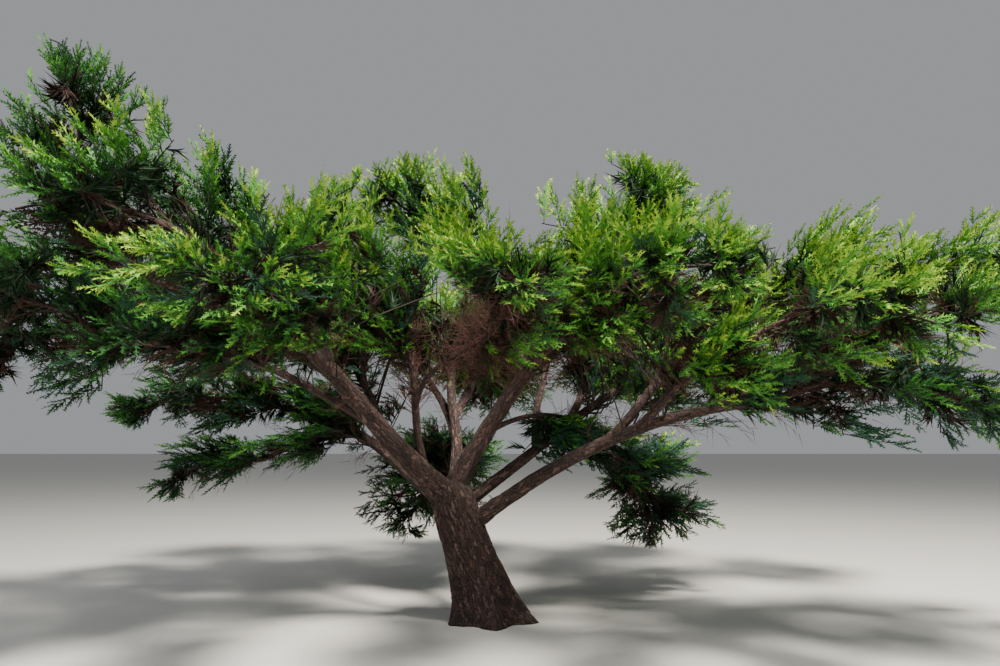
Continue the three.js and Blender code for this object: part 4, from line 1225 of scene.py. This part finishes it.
def spray_arrays(sprays, templates, kinds, chosen, outer):
    """Points and triangles of the chosen sprays, each a turned and scaled copy of a template. Where
    outer is True or False, only the triangles of the outer or of the inner part."""
    parts = []
    for kind, template in enumerate(templates):
        these = chosen[kinds[chosen] == kind]
        wanted = np.full(len(template.faces), True) if outer is None else template.outer == outer
        if not len(these):
            continue
        used, faces = np.unique(template.faces[wanted], return_inverse=True)
        faces = faces.reshape(-1, 3)
        points = template.points[used]
        way, face = sprays["way"][these], sprays["face"][these]
        side = unit(np.cross(face, way))
        shape = way[:, None] * points[:, 0, None] + side[:, None] * points[:, 1, None]
        shape = shape + face[:, None] * points[:, 2, None]
        placed = sprays["root"][these][:, None] + shape * sprays["size"][these][:, None, None]
        shift = np.arange(len(these))[:, None, None] * len(points)
        parts.append((placed.reshape(-1, 3), (faces[None] + shift).reshape(-1, 3)))
    return joined(parts)


def another_chance(fate, times):
    """A new number from 0 to 1 for each plume, worked out of its own one."""
    return fate * times % 1


def deal_tints(sprays, random):
    """The tint of each spray: new growth at the lit tips, older and darker inside and underneath, with
    painted light on top and on the lit masses, and painted shade underneath, inside and on the shaded
    masses.
    """
    count = len(sprays["size"])
    # The higher this score, the lighter the tint: newer growth along the plume and by chance, and newer
    # growth and painted light outside.
    brighter = FRESH_ALONG * sprays["along"] + FRESH_AND_LIT_OUTSIDE * np.clip(sprays["depth"], 0, 1.2)
    # Painted light on top, painted shade underneath.
    brighter = brighter + PAINTED_LIGHT_ON_TOP * sprays["high"]
    brighter = brighter + FRESH_BY_PLUME * (sprays["fate"] - 0.5) + FRESH_BY_SPRAY * (random.random(count) - 0.5)
    # Painted light or painted shade over a whole mass.
    brighter = brighter + np.array([PAINTED_LIGHT_BY_MASS.get(mass.key, 0) for mass in growth().masses])[sprays["mass"]]
    order = np.argsort(np.argsort(brighter)) / count
    tints = np.full(count, SHADE_TINT)
    for tint, limit in TINT_LIMITS:
        tints[order > limit] = tint
    cool = np.array([BLUISH_SHARES[mass.key not in BLUISH_MASSES] for mass in growth().masses])
    bluish = (another_chance(sprays["fate"], 7) < cool[sprays["mass"]]) & (order < BLUISH_UP_TO)
    tints[bluish] = BLUISH_TINT
    underneath = (sprays["high"] < -0.05) & (sprays["depth"] < 0.6)
    brown = another_chance(sprays["fate"], 13) < np.where(underneath, *BROWN_SHARES)
    tints[brown & (order < BROWN_UP_TO)] = BROWN_TINT
    return tints


def add_pieces(name, points, faces, material):
    """One piece, or numbered ones where it would have too many triangles."""
    nodes = [mass.name for mass in growth().masses]
    pieces = math.ceil(len(faces) / MOST_TRIANGLES)
    for part in range(pieces):
        these = faces[part * MOST_TRIANGLES : (part + 1) * MOST_TRIANGLES]
        used, own_faces = np.unique(these, return_inverse=True)
        own_name = f"{name}_{part + 1}" if pieces > 1 else name
        piece = mesh_object(own_name, points[used], own_faces.reshape(-1, 3))
        finish_piece(piece, material, nodes)


class JuniperSpraySettings(bpy.types.PropertyGroup):
    """Colours of the sprays"""

    tip: colour_setting("New tips", "#86A838")
    sunlit: colour_setting("Sunlit", "#50852B")
    green: colour_setting("Green", "#316621")
    deep: colour_setting("Deep", "#1E461B")
    shade: colour_setting("Shade", "#102611")
    bluish: colour_setting("Bluish", "#224431")
    brown: colour_setting("Brown", "#2B1C16")


class OBJECT_OT_juniper_sprays(bpy.types.Operator):
    """Makes the feathery sprays of all the masses, one kind of piece for each tint"""

    bl_idname = "object.juniper_sprays"
    bl_label = "Sprays"

    def execute(self, context):
        settings = context.scene.juniper_sprays
        random = np.random.default_rng(SEED)
        sprays = gathered(growth().sprays)
        templates = [feather(random) for unused in range(FEATHER_KINDS)]
        kinds = random.integers(0, len(templates), len(sprays["size"]))
        tints = deal_tints(sprays, random)
        inner = gathered(growth().tufts)
        withered = inner["fate"] > np.where(inner["high"] < 0, *GREEN_TUFTS)
        inner_templates = [tuft(random) for unused in range(TUFT_KINDS)]
        inner_kinds = random.integers(0, len(inner_templates), len(inner["size"]))
        for number, tint in enumerate(TINTS):
            parts = []
            if number > 0:
                chosen = np.flatnonzero(tints == number)
                whole = None if number >= BLUISH_TINT else False
                parts.append(spray_arrays(sprays, templates, kinds, chosen, whole))
            if number < SHADE_TINT:
                chosen = np.flatnonzero(tints == number + 1)
                parts.append(spray_arrays(sprays, templates, kinds, chosen, True))
            # Green tufts take the shade tint: painted shade deep in the crown. Withered ones are brown.
            if tint in ("shade", "brown"):
                chosen = np.flatnonzero(withered == (tint == "brown"))
                parts.append(spray_arrays(inner, inner_templates, inner_kinds, chosen, None))
            # Scale leaves have a thin wax over small rough scales, so they shine softly and broadly.
            material = plain_material("scale_leaf_" + tint, getattr(settings, tint), 0.65, specular=0.2)
            add_pieces("sprays_" + tint, *joined(parts), material)
        return {"FINISHED"}


# Stage


class JuniperStageSettings(bpy.types.PropertyGroup):
    """The floor, the lights and the camera"""

    floor_colour: colour_setting("Floor", "#C9C7C1", "Pale floor")
    key_power: bpy.props.FloatProperty(name="Key light", description="Watts", default=8300.0, unit="POWER")
    sky_strength: bpy.props.FloatProperty(name="Sky", description="Strength of the sky light", default=0.38)
    eye_height: length_setting("Eye height", "Height of the camera", 1.5)
    eye_distance: length_setting("Eye distance", "From the trunk", 7.0)
    lens: bpy.props.FloatProperty(name="Lens", description="Focal length in mm", default=28.0)


def area_light(name, spot, size, power, colour):
    """A round light that shines on the middle of the crown."""
    light = bpy.data.lights.new(name, "AREA")
    light.shape = "DISK"
    light.size = size
    light.energy = power
    light.color = linear(colour)[:3]
    lamp = bpy.data.objects.new(name, light)
    bpy.context.scene.collection.objects.link(lamp)
    lamp.location = spot
    way = np.array(LIT_SPOT) - np.array(spot)
    flat = math.hypot(way[0], way[1])
    lamp.rotation_euler = (math.atan2(flat, -way[2]), 0, math.atan2(-way[0], way[1]))


class OBJECT_OT_juniper_stage(bpy.types.Operator):
    """Makes the pale floor, the soft light and the camera at the photograph's viewing angle"""

    bl_idname = "object.juniper_stage"
    bl_label = "Stage"

    def execute(self, context):
        settings = context.scene.juniper_stage
        points = FLOOR_HALF * np.array([[-1, -1, 0], [1, -1, 0], [1, 1, 0], [-1, 1, 0]])
        floor = mesh_object("floor", points, np.array([[0, 1, 2, 3]]))
        # A painted studio floor, matt so that it shows a soft shadow and no reflection
        floor.data.materials.append(plain_material("pale_floor", settings.floor_colour, 0.9, specular=0.2))
        world = bpy.data.worlds.new("sky")
        world.use_nodes = True
        background = world.node_tree.nodes["Background"]
        background.inputs["Color"].default_value = linear("#EEF2F6")
        background.inputs["Strength"].default_value = settings.sky_strength
        context.scene.world = world
        area_light("key", KEY_SPOT, KEY_SIZE, settings.key_power, "#FFF8EE")
        area_light("fill", FILL_SPOT, FILL_SIZE, settings.key_power * FILL_SHARE, "#F2F6FF")
        camera_data = bpy.data.cameras.new("camera")
        camera_data.lens = settings.lens
        camera_data.sensor_width = SENSOR_WIDTH
        camera_data.shift_y = LENS_SHIFT
        camera = bpy.data.objects.new("camera", camera_data)
        context.scene.collection.objects.link(camera)
        camera.location = (EYE_ASIDE, -settings.eye_distance, settings.eye_height)
        camera.rotation_euler = (math.radians(EYE_TILT), 0, 0)
        context.scene.camera = camera
        return {"FINISHED"}


class VIEW3D_PT_juniper(bpy.types.Panel):
    """Lists the pieces of the juniper"""

    bl_label = "Spreading Juniper"
    bl_space_type = "VIEW_3D"
    bl_region_type = "UI"
    bl_category = "Juniper"

    def draw(self, context):
        for operator in OPERATORS:
            self.layout.operator(operator.bl_idname)


OPERATORS = (
    OBJECT_OT_juniper_bark,
    OBJECT_OT_juniper_twigs,
    OBJECT_OT_juniper_sprays,
    OBJECT_OT_juniper_stage,
)
SETTINGS = {
    "juniper_bark": JuniperBarkSettings,
    "juniper_twigs": JuniperTwigSettings,
    "juniper_sprays": JuniperSpraySettings,
    "juniper_stage": JuniperStageSettings,
}


def register():
    for name, group in SETTINGS.items():
        bpy.utils.register_class(group)
        setattr(bpy.types.Scene, name, bpy.props.PointerProperty(type=group))
    for added in (*OPERATORS, VIEW3D_PT_juniper):
        bpy.utils.register_class(added)


def unregister():
    for added in reversed((*OPERATORS, VIEW3D_PT_juniper)):
        bpy.utils.unregister_class(added)
    for name, group in reversed(SETTINGS.items()):
        delattr(bpy.types.Scene, name)
        bpy.utils.unregister_class(group)


def main():
    register()
    bpy.ops.object.juniper_bark()
    bpy.ops.object.juniper_twigs()
    bpy.ops.object.juniper_sprays()
    bpy.ops.object.juniper_stage()


if __name__ == "__main__":
    main()
